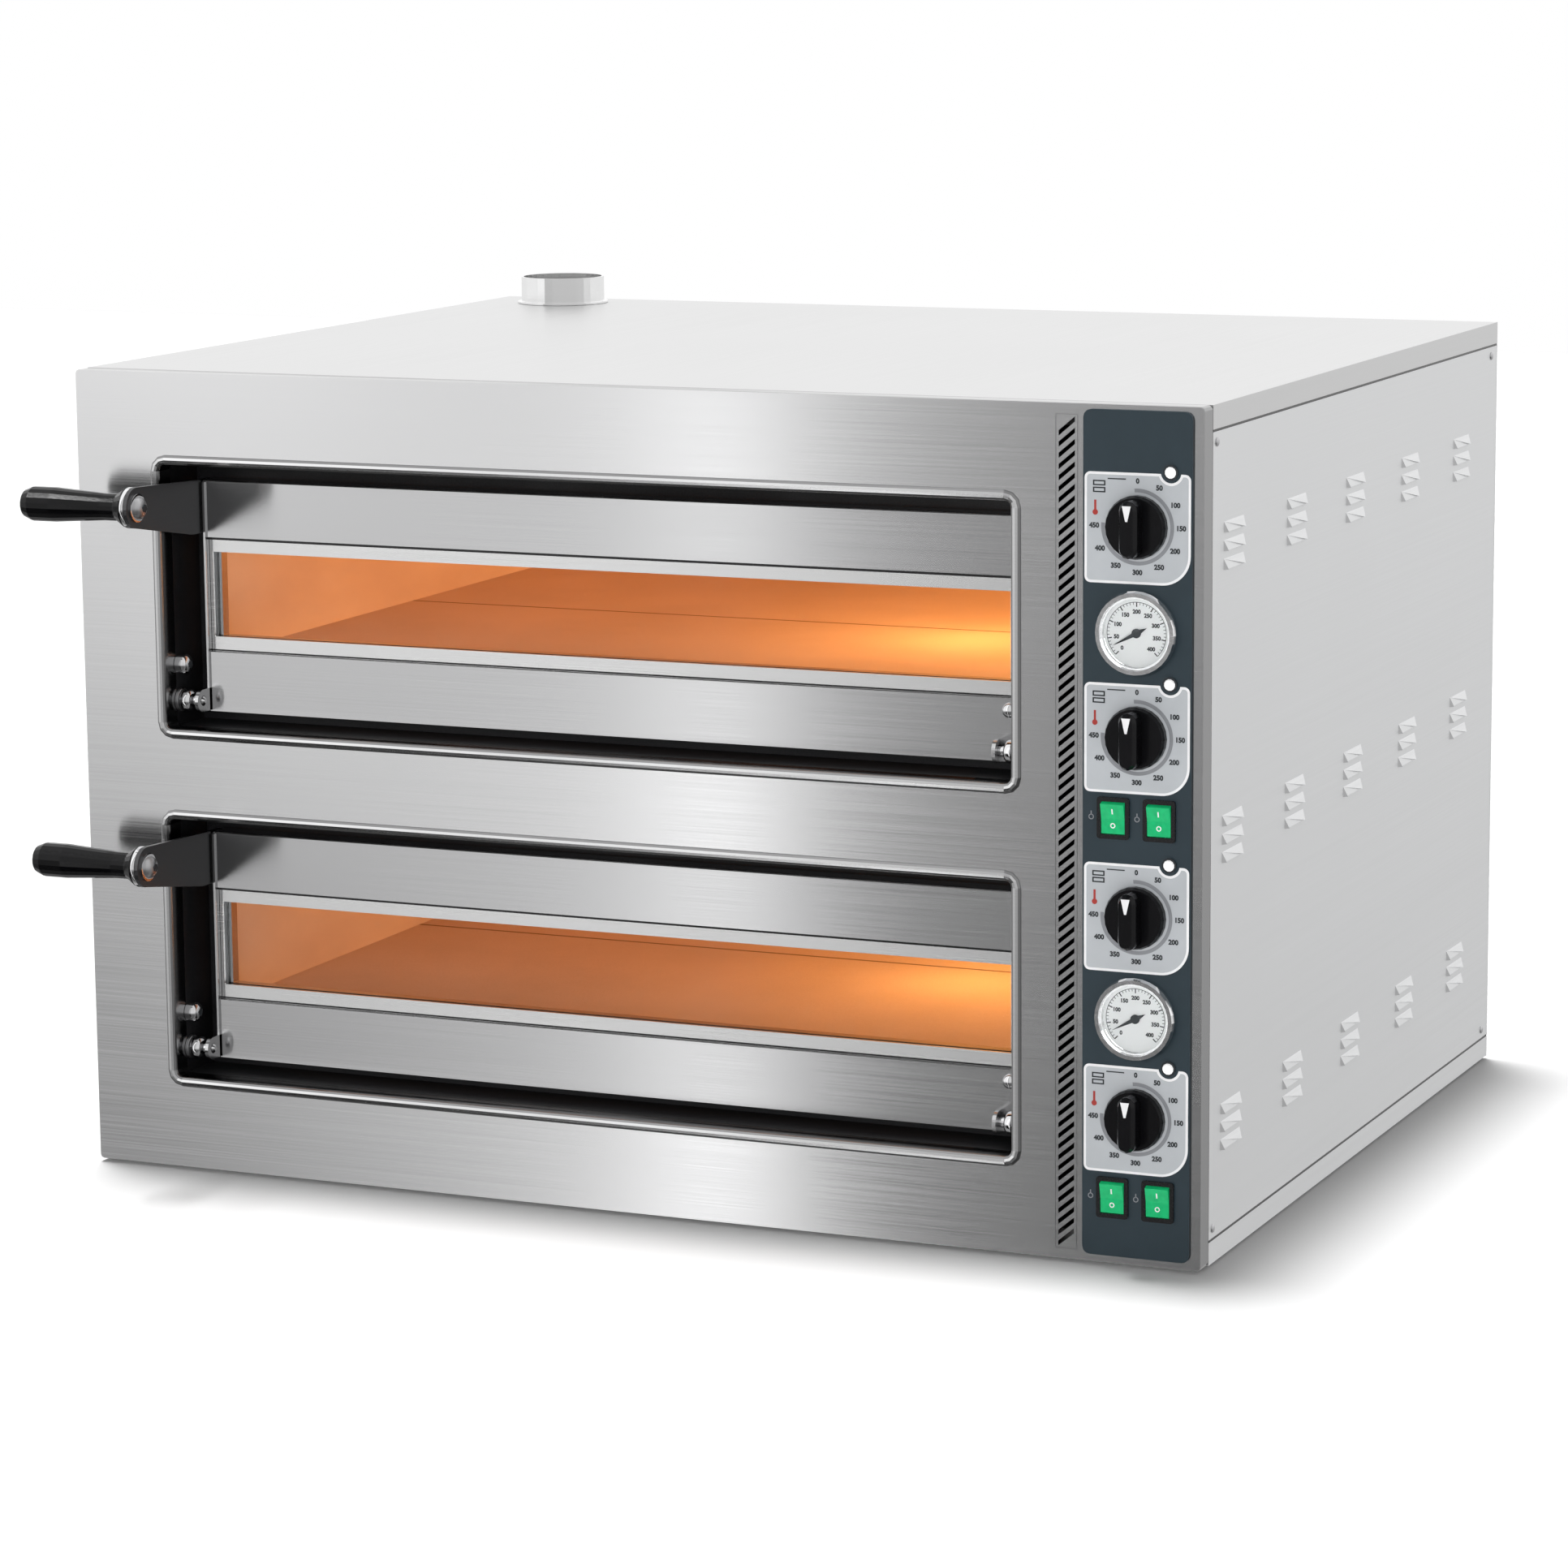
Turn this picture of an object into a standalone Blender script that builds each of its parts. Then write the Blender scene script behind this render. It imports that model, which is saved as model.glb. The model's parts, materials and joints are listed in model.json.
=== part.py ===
"""Two-deck countertop pizza oven, built from separate sheet-metal and control pieces.

Metres, +Z up. The front faces -Y, +X is to the right seen from the front, and the origin is
the centre of the flat underside.
"""
import math

import bmesh
import bpy
from mathutils import Vector

# Casing
CASE_WIDTH = 0.940
CASE_DEPTH = 0.765
CASE_HEIGHT = 0.640
SHEET = 0.0015
GAP = 0.0003
SEAM = 0.0008
FRONT_RETURN = 0.018
TOP_FLANGE = 0.018
BASE_FLANGE = 0.0175
FRONT_CORNER = 0.003

# Door openings in the front panel
OPENING_FROM_LEFT = 0.074
OPENING_WIDTH = 0.717
OPENING_HEIGHT = 0.210
OPENING_CORNER = 0.005
OPENING_RETURN = 0.016
LOWER_LEDGE = 0.0740
DECK_PITCH = 0.283
RIM_WIDTH = 0.008
RIM_PROUD = 0.0025

# Chambers behind the openings, heights above the ledge and depths behind the front
WELL_DEPTH = 0.058
CHAMBER_SIDE_INSET = 0.022
CHAMBER_CEILING = 0.190
CHAMBER_BACK = 0.700
TROUGH_INSET = 0.030
TROUGH_FLOOR = 0.008
STONE_TOP = 0.054
STONE_THICKNESS = 0.018
ELEMENT_RADIUS = 0.00425
ELEMENT_RUNS = 6
ELEMENT_MARGIN = 0.035
ELEMENT_BEND = 0.022
LAMP_RADIUS = 0.026
LAMP_DEPTH = 0.012
LAMP_FROM_FRONT = 0.250
LAMP_HEIGHT = 0.138

# Doors
DOOR_END_GAP = 0.018
DOOR_FACE = 0.034
DOOR_THICKNESS = 0.020
DOOR_BOTTOM = 0.009
DOOR_TOP = 0.1954
DOOR_CORNER = 0.002
DOOR_END_FLANGE = 0.006
GLAZING_BOTTOM = 0.0575
GLAZING_TOP = 0.1500
GLAZING_LIP = 0.012
GLAZING_REBATE = 0.008
GLAZING_SETBACK = 0.0015
GLASS_THICKNESS = 0.004
VIEW_BOTTOM = 0.0695
VIEW_TOP = 0.1380
HINGE_FROM_FRONT = 0.022
HINGE_HEIGHT = 0.020
EAR_THICKNESS = 0.003
EAR_RADIUS = 0.009
PIN_RADIUS = 0.0037
PIN_FLANGE_RADIUS = 0.007
PIN_FLANGE = 0.003
PIN_PAST_EAR = 0.002

# Door handles
BRACKET_THICKNESS = 0.003
BRACKET_ROOT_BOTTOM = 0.153
BRACKET_ROOT_DEPTH = 0.016
HANDLE_REACH = 0.066
HANDLE_HEIGHT = 0.184
BRACKET_TIP_RADIUS = 0.016
GRIP_LENGTH = 0.0985
GRIP_COLLAR_RADIUS = 0.0155
GRIP_NECK_RADIUS = 0.0105
GRIP_RADIUS = 0.0135

# Vent strip beside the controls
VENT_FROM_LEFT = 0.8345
VENT_STRIP_WIDTH = 0.0166
VENT_STRIP_BOTTOM = 0.008
VENT_FLANGE = 0.004
SLOT_COUNT = 75
SLOT_PITCH = 0.0082
SLOT_FIRST = 0.0165
SLOT_SPAN = 0.0126
SLOT_WIDTH = 0.003
SLOT_SLANT = math.radians(40)

# Control fascia, heights from the base
FASCIA_FROM_LEFT = 0.848
FASCIA_WIDTH = 0.084
FASCIA_BOTTOM = 0.006
FASCIA_TOP_GAP = 0.0035
FASCIA_THICKNESS = 0.002
FASCIA_CORNER = 0.006
WINDOW_MARGIN = 0.006
KNOB_HEIGHTS = (0.1120, 0.2640, 0.3975, 0.5520)
GAUGE_HEIGHTS = (0.1880, 0.4745)
SWITCH_HEIGHTS = (0.0510, 0.3370)
SWITCH_OFFSET = 0.0178

# Thermostats, knobs and pilot lamps
THERMOSTAT_SIZE = 0.042
THERMOSTAT_DEPTH = 0.034
THERMOSTAT_CORNER = 0.004
SPINDLE_RADIUS = 0.003
SPINDLE_ENTRY = 0.014
SPINDLE_HOLE_RADIUS = 0.0045
KNOB_RADIUS = 0.0233
KNOB_SKIRT = 0.008
KNOB_DEPTH = 0.024
KNOB_BAR_WIDTH = 0.014
PILOT_RIGHT = 0.0255
PILOT_UP = 0.0405
PILOT_BODY_RADIUS = 0.0037
PILOT_FLANGE_RADIUS = 0.0058
PILOT_DOME_RADIUS = 0.0044
PILOT_DEPTH = 0.012

# Dial thermometers
BEZEL_RADIUS = 0.03135
GAUGE_BODY_RADIUS = 0.0275
GAUGE_DEPTH = 0.024
BEZEL_PROUD = 0.007
DIAL_RADIUS = 0.0255
DIAL_LEVEL = 0.001
LENS_RADIUS = 0.0269
LENS_SEAT = 0.0045
LENS_THICKNESS = 0.0015
NEEDLE_HUB = 0.0035
NEEDLE_LENGTH = 0.0205
NEEDLE_TAIL = 0.009
NEEDLE_THICKNESS = 0.0012
NEEDLE_REST = math.radians(208)

# Rocker switches
SWITCH_FLANGE_WIDTH = 0.025
SWITCH_FLANGE_HEIGHT = 0.031
SWITCH_BODY_WIDTH = 0.022
SWITCH_BODY_HEIGHT = 0.028
SWITCH_PROUD = 0.002
SWITCH_DEPTH = 0.018
SWITCH_CORNER = 0.002
ROCKER_WIDTH = 0.018
ROCKER_RADIUS = 0.0119
ROCKER_PIVOT = -0.001
ROCKER_SADDLE = 0.003
ROCKER_REST = math.radians(8)

# Side louvres, depths from the front and heights from the base
LOUVRE_GROUPS = 5
LOUVRE_FIRST = 0.0665
LOUVRE_GROUP_PITCH = 0.148
LOUVRE_ROWS = (0.100, 0.3175, 0.535)
LOUVRES_PER_GROUP = 3
LOUVRE_PITCH = 0.0137
LOUVRE_LENGTH = 0.045
LOUVRE_HEIGHT = 0.008
LOUVRE_PROUD = 0.003

# Flue collar on the top and cable gland at the back
FLUE_FROM_LEFT = 0.079
FLUE_FROM_BACK = 0.050
FLUE_RADIUS = 0.0375
FLUE_WALL = 0.002
FLUE_HEIGHT = 0.024
FLUE_SPIGOT = 0.012
FLUE_FLANGE = 0.0035
GLAND_FROM_RIGHT = 0.090
GLAND_HEIGHT = 0.090
GLAND_RADIUS = 0.010
GLAND_FLANGE_RADIUS = 0.0145
GLAND_BORE = 0.005
GLAND_LENGTH = 0.022

# Places shared by several pieces
LEFT = -CASE_WIDTH / 2
RIGHT = CASE_WIDTH / 2
FRONT = -CASE_DEPTH / 2
BACK = CASE_DEPTH / 2
OPENING_X0 = LEFT + OPENING_FROM_LEFT
OPENING_X1 = OPENING_X0 + OPENING_WIDTH
DOOR_X0 = OPENING_X0 + DOOR_END_GAP
DOOR_X1 = OPENING_X1 - DOOR_END_GAP
VENT_X = LEFT + VENT_FROM_LEFT
FASCIA_X0 = LEFT + FASCIA_FROM_LEFT
FASCIA_X1 = FASCIA_X0 + FASCIA_WIDTH
FASCIA_X = (FASCIA_X0 + FASCIA_X1) / 2
FASCIA_Z1 = CASE_HEIGHT - FASCIA_TOP_GAP
FASCIA_FRONT = FRONT - GAP - FASCIA_THICKNESS
FLUE_CENTRE = (LEFT + FLUE_FROM_LEFT, BACK - FLUE_FROM_BACK)
GLAND_CENTRE = (RIGHT - GLAND_FROM_RIGHT, GLAND_HEIGHT)
DECKS = ("lower", "upper")


def ledge(deck):
    """Height of the bottom edge of a deck's door opening."""
    return LOWER_LEDGE + deck * DECK_PITCH


def finish(name, colour, roughness, metallic=0.0, transmission=0.0):
    """A Principled material."""
    material = bpy.data.materials.new(name)
    material.use_nodes = True
    shader = material.node_tree.nodes["Principled BSDF"]
    shader.inputs["Base Color"].default_value = (*colour, 1.0)
    shader.inputs["Roughness"].default_value = roughness
    shader.inputs["Metallic"].default_value = metallic
    shader.inputs["Transmission Weight"].default_value = transmission
    material.diffuse_color = (*colour, 1.0)
    return material


def rounded(x0, x1, z0, z1, radius, steps=3):
    """Outline of a rectangle with round corners."""
    corners = ((x1, z1, -1, -1, 0), (x0, z1, 1, -1, 90), (x0, z0, 1, 1, 180), (x1, z0, -1, 1, 270))
    points = []
    for x, z, inward_x, inward_z, start in corners:
        for step in range(steps + 1):
            angle = math.radians(start + 90 * step / steps)
            points.append((x + radius * (inward_x + math.cos(angle)),
                           z + radius * (inward_z + math.sin(angle))))
    return points


def rectangle(x0, x1, z0, z1):
    return [(x1, z1), (x0, z1), (x0, z0), (x1, z0)]


def circle(x, z, radius, sides=24):
    return [(x + radius * math.cos(2 * math.pi * k / sides),
             z + radius * math.sin(2 * math.pi * k / sides)) for k in range(sides)]


def on_y(outline, y):
    """An outline in X and Z set at a depth."""
    return [(a, y, b) for a, b in outline]


def on_x(outline, x):
    """An outline in Y and Z set at a place along X."""
    return [(x, a, b) for a, b in outline]


def on_z(outline, z):
    """An outline in X and Y set at a height."""
    return [(a, b, z) for a, b in outline]


def bridge(bm, ring_a, ring_b):
    """Join two rings of as many points with a band of faces."""
    for k in range(len(ring_a)):
        n = (k + 1) % len(ring_a)
        bm.faces.new((ring_a[k], ring_a[n], ring_b[n], ring_b[k]))


def fill(bm, rings):
    """Cover the flat area between an outer ring and the rings of its holes."""
    edges = []
    for ring in rings:
        for k in range(len(ring)):
            pair = (ring[k], ring[(k + 1) % len(ring)])
            edges.append(bm.edges.get(pair) or bm.edges.new(pair))
    bmesh.ops.triangle_fill(bm, use_beauty=True, edges=edges)


def stacked(outer, holes=()):
    """A body from a stack of outer rings and, for each hole, a stack that ends on the same two faces."""
    bm = bmesh.new()
    stacks = [[[bm.verts.new(p) for p in ring] for ring in stack] for stack in (outer, *holes)]
    for stack in stacks:
        for ring_a, ring_b in zip(stack, stack[1:]):
            bridge(bm, ring_a, ring_b)
    fill(bm, [stack[0] for stack in stacks])
    fill(bm, [stack[-1] for stack in stacks])
    return bm


def turned(profile, base, axis, sides=24, closed=False):
    """Spin a profile of (radius, height) points about an axis through base; closed joins its ends."""
    along = Vector(axis)
    across = along.orthogonal().normalized()
    beside = along.cross(across)
    bm = bmesh.new()
    rings = []
    for radius, height in profile:
        centre = Vector(base) + along * height
        if radius == 0:
            rings.append([bm.verts.new(centre)])
            continue
        angles = [2 * math.pi * k / sides for k in range(sides)]
        rings.append([bm.verts.new(centre + radius * (across * math.cos(a) + beside * math.sin(a)))
                      for a in angles])
    pairs = list(zip(rings, rings[1:]))
    if closed:
        pairs.append((rings[-1], rings[0]))
    for ring_a, ring_b in pairs:
        if len(ring_a) == 1 or len(ring_b) == 1:
            pole, ring = (ring_a[0], ring_b) if len(ring_a) == 1 else (ring_b[0], ring_a)
            for k in range(sides):
                bm.faces.new((pole, ring[k], ring[(k + 1) % sides]))
        else:
            bridge(bm, ring_a, ring_b)
    return bm


def add(name, bm, material, pivot=(0, 0, 0)):
    """Make a named object of a body, with its origin at a pivot."""
    bmesh.ops.recalc_face_normals(bm, faces=bm.faces[:])
    bmesh.ops.translate(bm, vec=-Vector(pivot), verts=bm.verts[:])
    mesh = bpy.data.meshes.new(name)
    bm.to_mesh(mesh)
    bm.free()
    mesh.materials.append(material)
    mesh.shade_smooth()
    mesh.set_sharp_from_angle(angle=math.radians(35))
    piece = bpy.data.objects.new(name, mesh)
    piece.location = pivot
    bpy.context.collection.objects.link(piece)
    return piece


def unite(piece, bm):
    """Weld a second body onto a piece."""
    tool = add(piece.name + "_weld", bm, piece.data.materials[0])
    tool.hide_render = True
    tool.display_type = "WIRE"
    weld = piece.modifiers.new("weld", "BOOLEAN")
    weld.operation = "UNION"
    weld.solver = "EXACT"
    weld.object = tool


def opening_rim(deck):
    """Stack of rings for a door opening: a raised round bead, then a return into the casing."""
    z0 = ledge(deck)

    def ring(offset, depth):
        outline = rounded(OPENING_X0 - offset, OPENING_X1 + offset, z0 - offset,
                          z0 + OPENING_HEIGHT + offset, OPENING_CORNER + offset)
        return on_y(outline, FRONT + depth)

    bead_steps = 6
    bead = []
    for step in range(bead_steps + 1):
        angle = math.pi * step / bead_steps
        bead.append(ring(RIM_WIDTH / 2 * (1 + math.cos(angle)), -RIM_PROUD * math.sin(angle)))
    return bead + [ring(0, OPENING_RETURN), ring(SHEET, OPENING_RETURN), ring(SHEET, SHEET)]


def window_outline():
    """Cut-out in the front panel behind the control fascia."""
    return rounded(FASCIA_X0 + WINDOW_MARGIN, FASCIA_X1 - WINDOW_MARGIN, FASCIA_BOTTOM + WINDOW_MARGIN,
                   FASCIA_Z1 - WINDOW_MARGIN, WINDOW_MARGIN)


def vent_outline(margin):
    """Outline of the vent strip, grown by a margin."""
    half = VENT_STRIP_WIDTH / 2 + margin
    top = SLOT_FIRST + (SLOT_COUNT - 1) * SLOT_PITCH + SLOT_FIRST - VENT_STRIP_BOTTOM
    return rectangle(VENT_X - half, VENT_X + half, VENT_STRIP_BOTTOM - margin, top + margin)


def front_panel(steel):
    """Folded front with two rimmed door openings, the vent cut-out and the control cut-out."""
    def outline(inset):
        return rounded(LEFT + inset, RIGHT - inset, inset, CASE_HEIGHT - inset, FRONT_CORNER - inset, 2)

    outer = [on_y(outline(0), FRONT), on_y(outline(0), FRONT + FRONT_RETURN),
             on_y(outline(SHEET), FRONT + FRONT_RETURN), on_y(outline(SHEET), FRONT + SHEET)]
    holes = [opening_rim(deck) for deck in range(len(DECKS))]
    for cut in (window_outline(), vent_outline(GAP)):
        holes.append([on_y(cut, FRONT), on_y(cut, FRONT + SHEET)])
    add("front_panel", stacked(outer, holes), steel)


def vent_grille(steel):
    """Strip of slanted air slots, flush with the front and flanged behind it."""
    bm = bmesh.new()
    step = FRONT + SHEET + GAP
    rear = step + SHEET
    outer = [on_y(vent_outline(0), FRONT), on_y(vent_outline(0), step), on_y(vent_outline(VENT_FLANGE), step),
             on_y(vent_outline(VENT_FLANGE), rear), on_y(vent_outline(0), rear)]
    rings = [[bm.verts.new(p) for p in ring] for ring in outer]
    for ring_a, ring_b in zip(rings, rings[1:]):
        bridge(bm, ring_a, ring_b)
    rise = SLOT_SPAN / 2 * math.tan(SLOT_SLANT)
    half_cut = SLOT_WIDTH / 2 / math.cos(SLOT_SLANT)
    slots = []
    for ring, y in ((rings[0], FRONT), (rings[-1], rear)):
        edges = []
        for side in (-1, 1):
            middles = [SLOT_FIRST + k * SLOT_PITCH + side * rise for k in range(SLOT_COUNT)]
            edges.append([bm.verts.new((VENT_X + side * SLOT_SPAN / 2, y, z + up * half_cut))
                          for z in middles for up in (-1, 1)])
        left, right = edges
        top_right, top_left, low_left, low_right = ring
        bm.faces.new((low_left, *left, top_left))
        bm.faces.new((low_right, *right, top_right))
        bm.faces.new((low_left, low_right, right[0], left[0]))
        bm.faces.new((top_left, top_right, right[-1], left[-1]))
        for k in range(1, 2 * SLOT_COUNT - 1, 2):
            bm.faces.new((left[k], left[k + 1], right[k + 1], right[k]))
        slots.append([(left[k], left[k + 1], right[k + 1], right[k]) for k in range(0, 2 * SLOT_COUNT, 2)])
    for front_slot, rear_slot in zip(*slots):
        bridge(bm, front_slot, rear_slot)
    add("vent_grille", bm, steel)


def tray(y0, z_floor, z_rim, hole=None):
    """A folded tray from a floor level to its rim, with its open side at the rim."""
    inward = math.copysign(SHEET, z_rim - z_floor)

    def outline(inset):
        return rectangle(LEFT + inset, RIGHT - inset, y0 + inset, BACK - inset)

    outer = [on_z(outline(0), z_floor), on_z(outline(0), z_rim),
             on_z(outline(SHEET), z_rim), on_z(outline(SHEET), z_floor + inward)]
    holes = [[on_z(hole, z_floor), on_z(hole, z_floor + inward)]] if hole else []
    return stacked(outer, holes)


def louvre(bm, side, y, z):
    """A pressed louvre: a sloping hood with two cheeks, open below. Returns its hole on both faces."""
    half = LOUVRE_LENGTH / 2
    outside = side * CASE_WIDTH / 2
    holes = []
    mouths = []
    for depth, trim in ((0, 0), (SHEET, SHEET / 2)):
        x = outside - side * depth
        lip = outside + side * (LOUVRE_PROUD - depth)
        top_z = z + LOUVRE_HEIGHT / 2 - trim
        low_z = z - LOUVRE_HEIGHT / 2
        top = [bm.verts.new((x, y + s * (half - trim), top_z)) for s in (-1, 1)]
        low = [bm.verts.new((x, y + s * (half - trim), low_z)) for s in (-1, 1)]
        edge = [bm.verts.new((lip, y + s * (half - 2 * SHEET - trim), low_z)) for s in (-1, 1)]
        bm.faces.new((top[0], top[1], edge[1], edge[0]))
        bm.faces.new((top[0], edge[0], low[0]))
        bm.faces.new((top[1], edge[1], low[1]))
        holes.append([top[0], top[1], low[1], low[0]])
        mouths.append([low[0], edge[0], edge[1], low[1]])
    bridge(bm, *mouths)
    return holes


def side_panel(name, side, steel):
    """Flat side sheet with rows of pressed louvres in groups."""
    bm = bmesh.new()
    outline = rectangle(FRONT + FRONT_RETURN + SEAM, BACK - SHEET - GAP,
                        BASE_FLANGE + SEAM, CASE_HEIGHT - TOP_FLANGE - SEAM)
    faces = [[[bm.verts.new(p) for p in on_x(outline, side * (CASE_WIDTH / 2 - depth))]]
             for depth in (0, SHEET)]
    bridge(bm, faces[0][0], faces[1][0])
    for row in LOUVRE_ROWS:
        for group in range(LOUVRE_GROUPS):
            for k in range(LOUVRES_PER_GROUP):
                z = row + (k - (LOUVRES_PER_GROUP - 1) / 2) * LOUVRE_PITCH
                y = FRONT + LOUVRE_FIRST + group * LOUVRE_GROUP_PITCH
                for face, hole in zip(faces, louvre(bm, side, y, z)):
                    face.append(hole)
    for face in faces:
        fill(bm, face)
    add(name, bm, steel)


def rear_panel(steel):
    """Flat back sheet with the hole for the cable gland."""
    outline = rectangle(LEFT, RIGHT, BASE_FLANGE + SEAM, CASE_HEIGHT - TOP_FLANGE - SEAM)
    hole = circle(*GLAND_CENTRE, GLAND_RADIUS + 2 * GAP)
    outer = [on_y(outline, BACK - SHEET), on_y(outline, BACK)]
    add("rear_panel", stacked(outer, [[on_y(hole, BACK - SHEET), on_y(hole, BACK)]]), steel)


def flue_collar(steel):
    """Round spigot through the top, with a seating flange."""
    inner = FLUE_RADIUS - FLUE_WALL
    seat = CASE_HEIGHT + GAP
    profile = [(inner, CASE_HEIGHT - FLUE_SPIGOT), (FLUE_RADIUS, CASE_HEIGHT - FLUE_SPIGOT),
               (FLUE_RADIUS, seat), (FLUE_RADIUS + FLUE_FLANGE, seat),
               (FLUE_RADIUS + FLUE_FLANGE, seat + SHEET), (FLUE_RADIUS, seat + SHEET),
               (FLUE_RADIUS, CASE_HEIGHT + FLUE_HEIGHT), (inner, CASE_HEIGHT + FLUE_HEIGHT)]
    add("flue_collar", turned(profile, (*FLUE_CENTRE, 0), (0, 0, 1), 32, closed=True), steel)


def cable_gland(plastic):
    """Compression gland with a bore, clamped in the back sheet."""
    inside = BACK - SHEET - GLAND_LENGTH / 2
    profile = [(GLAND_BORE, 0), (GLAND_RADIUS, 0), (GLAND_RADIUS, BACK + GAP - inside),
               (GLAND_FLANGE_RADIUS, BACK + GAP - inside),
               (GLAND_FLANGE_RADIUS, BACK + GAP + GLAND_LENGTH / 4 - inside),
               (GLAND_RADIUS, BACK + GAP + GLAND_LENGTH / 3 - inside),
               (GLAND_RADIUS * 0.8, BACK + GLAND_LENGTH / 2 - inside),
               (GLAND_BORE, BACK + GLAND_LENGTH / 2 - inside)]
    base = (GLAND_CENTRE[0], inside, GLAND_CENTRE[1])
    add("cable_gland", turned(profile, base, (0, 1, 0), 12, closed=True), plastic)


def casing(steel, plastic):
    panel_start = FRONT + FRONT_RETURN + SEAM
    flue_hole = circle(*FLUE_CENTRE, FLUE_RADIUS + 2 * GAP, 32)
    add("base_tray", tray(panel_start, 0, BASE_FLANGE), steel)
    add("top_cover", tray(panel_start, CASE_HEIGHT, CASE_HEIGHT - TOP_FLANGE, flue_hole), steel)
    front_panel(steel)
    vent_grille(steel)
    side_panel("left_side_panel", -1, steel)
    side_panel("right_side_panel", 1, steel)
    rear_panel(steel)
    flue_collar(steel)
    cable_gland(plastic)


def liner_ring(deck, grow, y, well=False):
    """Section of the door well or of the chamber, with the heater trough below the stone."""
    z0 = ledge(deck)
    inset = 0 if well else CHAMBER_SIDE_INSET
    left = OPENING_X0 + inset - grow
    right = OPENING_X1 - inset + grow
    trough = CHAMBER_SIDE_INSET + TROUGH_INSET - grow
    inner_left = OPENING_X0 + trough
    inner_right = OPENING_X1 - trough
    top = z0 + (OPENING_HEIGHT if well else CHAMBER_CEILING) + grow
    step = z0 + STONE_TOP - STONE_THICKNESS - GAP - grow
    bottom = z0 + (0 if well else TROUGH_FLOOR) - grow
    turns = ((left, bottom), (right, bottom)) if well else ((inner_left, step), (inner_right, step))
    outline = [(left, top), (left, step), turns[0], (inner_left, bottom),
               (inner_right, bottom), turns[1], (right, step), (right, top)]
    return on_y(outline, y)


def element_path(deck, z):
    """Serpentine heater run: straight lengths along the depth joined by round bends."""
    x0 = OPENING_X0 + CHAMBER_SIDE_INSET + TROUGH_INSET + ELEMENT_MARGIN
    x1 = OPENING_X1 - CHAMBER_SIDE_INSET - TROUGH_INSET - ELEMENT_MARGIN
    back = FRONT + CHAMBER_BACK - GAP
    ends = (FRONT + WELL_DEPTH + ELEMENT_MARGIN, back - ELEMENT_MARGIN)
    pitch = (x1 - x0) / (ELEMENT_RUNS - 1)
    points = [(x0, back, z)]
    for k in range(ELEMENT_RUNS - 1):
        y = ends[k % 2]
        toward = -1 if k % 2 == 0 else 1
        for corner, start in ((x0 + k * pitch + ELEMENT_BEND, 180), (x0 + (k + 1) * pitch - ELEMENT_BEND, 90)):
            for step in range(4):
                angle = math.radians(start - 30 * step)
                points.append((corner + ELEMENT_BEND * math.cos(angle),
                               y - toward * ELEMENT_BEND * (1 - math.sin(angle)), z))
    points.append((x1, back, z))
    return points


def tube(name, points, radius, material):
    """Round tube along a path, with closed ends."""
    curve = bpy.data.curves.new(name, "CURVE")
    curve.dimensions = "3D"
    curve.bevel_depth = radius
    curve.bevel_resolution = 1
    curve.use_fill_caps = True
    spline = curve.splines.new("POLY")
    spline.points.add(len(points) - 1)
    for point, place in zip(spline.points, points):
        point.co = (*place, 1.0)
    curve.materials.append(material)
    bpy.context.collection.objects.link(bpy.data.objects.new(name, curve))


def chamber(deck, enamel, stone, heater, lamp_glass):
    """Stepped liner with its stone floor, two heaters and the lamp on its right wall."""
    name = DECKS[deck]
    z0 = ledge(deck)
    mouth = FRONT + WELL_DEPTH
    rear = FRONT + CHAMBER_BACK
    start = FRONT + OPENING_RETURN + GAP
    rings = [liner_ring(deck, 0, rear), liner_ring(deck, 0, mouth), liner_ring(deck, 0, mouth, True),
             liner_ring(deck, 0, start, True), liner_ring(deck, SHEET, start, True),
             liner_ring(deck, SHEET, mouth + SHEET, True), liner_ring(deck, SHEET, mouth + SHEET),
             liner_ring(deck, SHEET, rear + SHEET)]
    add(name + "_chamber_liner", stacked(rings), enamel)

    wall_left = OPENING_X0 + CHAMBER_SIDE_INSET
    wall_right = OPENING_X1 - CHAMBER_SIDE_INSET
    slab = rectangle(wall_left + GAP, wall_right - GAP, mouth + GAP, rear - GAP)
    add(name + "_deck_stone", stacked([on_z(slab, z0 + STONE_TOP - STONE_THICKNESS),
                                       on_z(slab, z0 + STONE_TOP)]), stone)
    floor_run = z0 + TROUGH_FLOOR + GAP + ELEMENT_RADIUS
    roof_run = z0 + CHAMBER_CEILING - GAP - ELEMENT_RADIUS
    tube(name + "_floor_heater", element_path(deck, floor_run), ELEMENT_RADIUS, heater)
    tube(name + "_roof_heater", element_path(deck, roof_run), ELEMENT_RADIUS, heater)
    base = (wall_right - GAP, FRONT + LAMP_FROM_FRONT, z0 + LAMP_HEIGHT)
    dome = [(0, 0), (LAMP_RADIUS, 0), (LAMP_RADIUS, LAMP_DEPTH * 0.3), (LAMP_RADIUS * 0.9, LAMP_DEPTH * 0.6),
            (LAMP_RADIUS * 0.6, LAMP_DEPTH * 0.9), (0, LAMP_DEPTH)]
    add(name + "_chamber_lamp", turned(dome, base, (-1, 0, 0), 16), lamp_glass)


def hinge_point(deck):
    return (0, FRONT + HINGE_FROM_FRONT, ledge(deck) + HINGE_HEIGHT)


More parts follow.
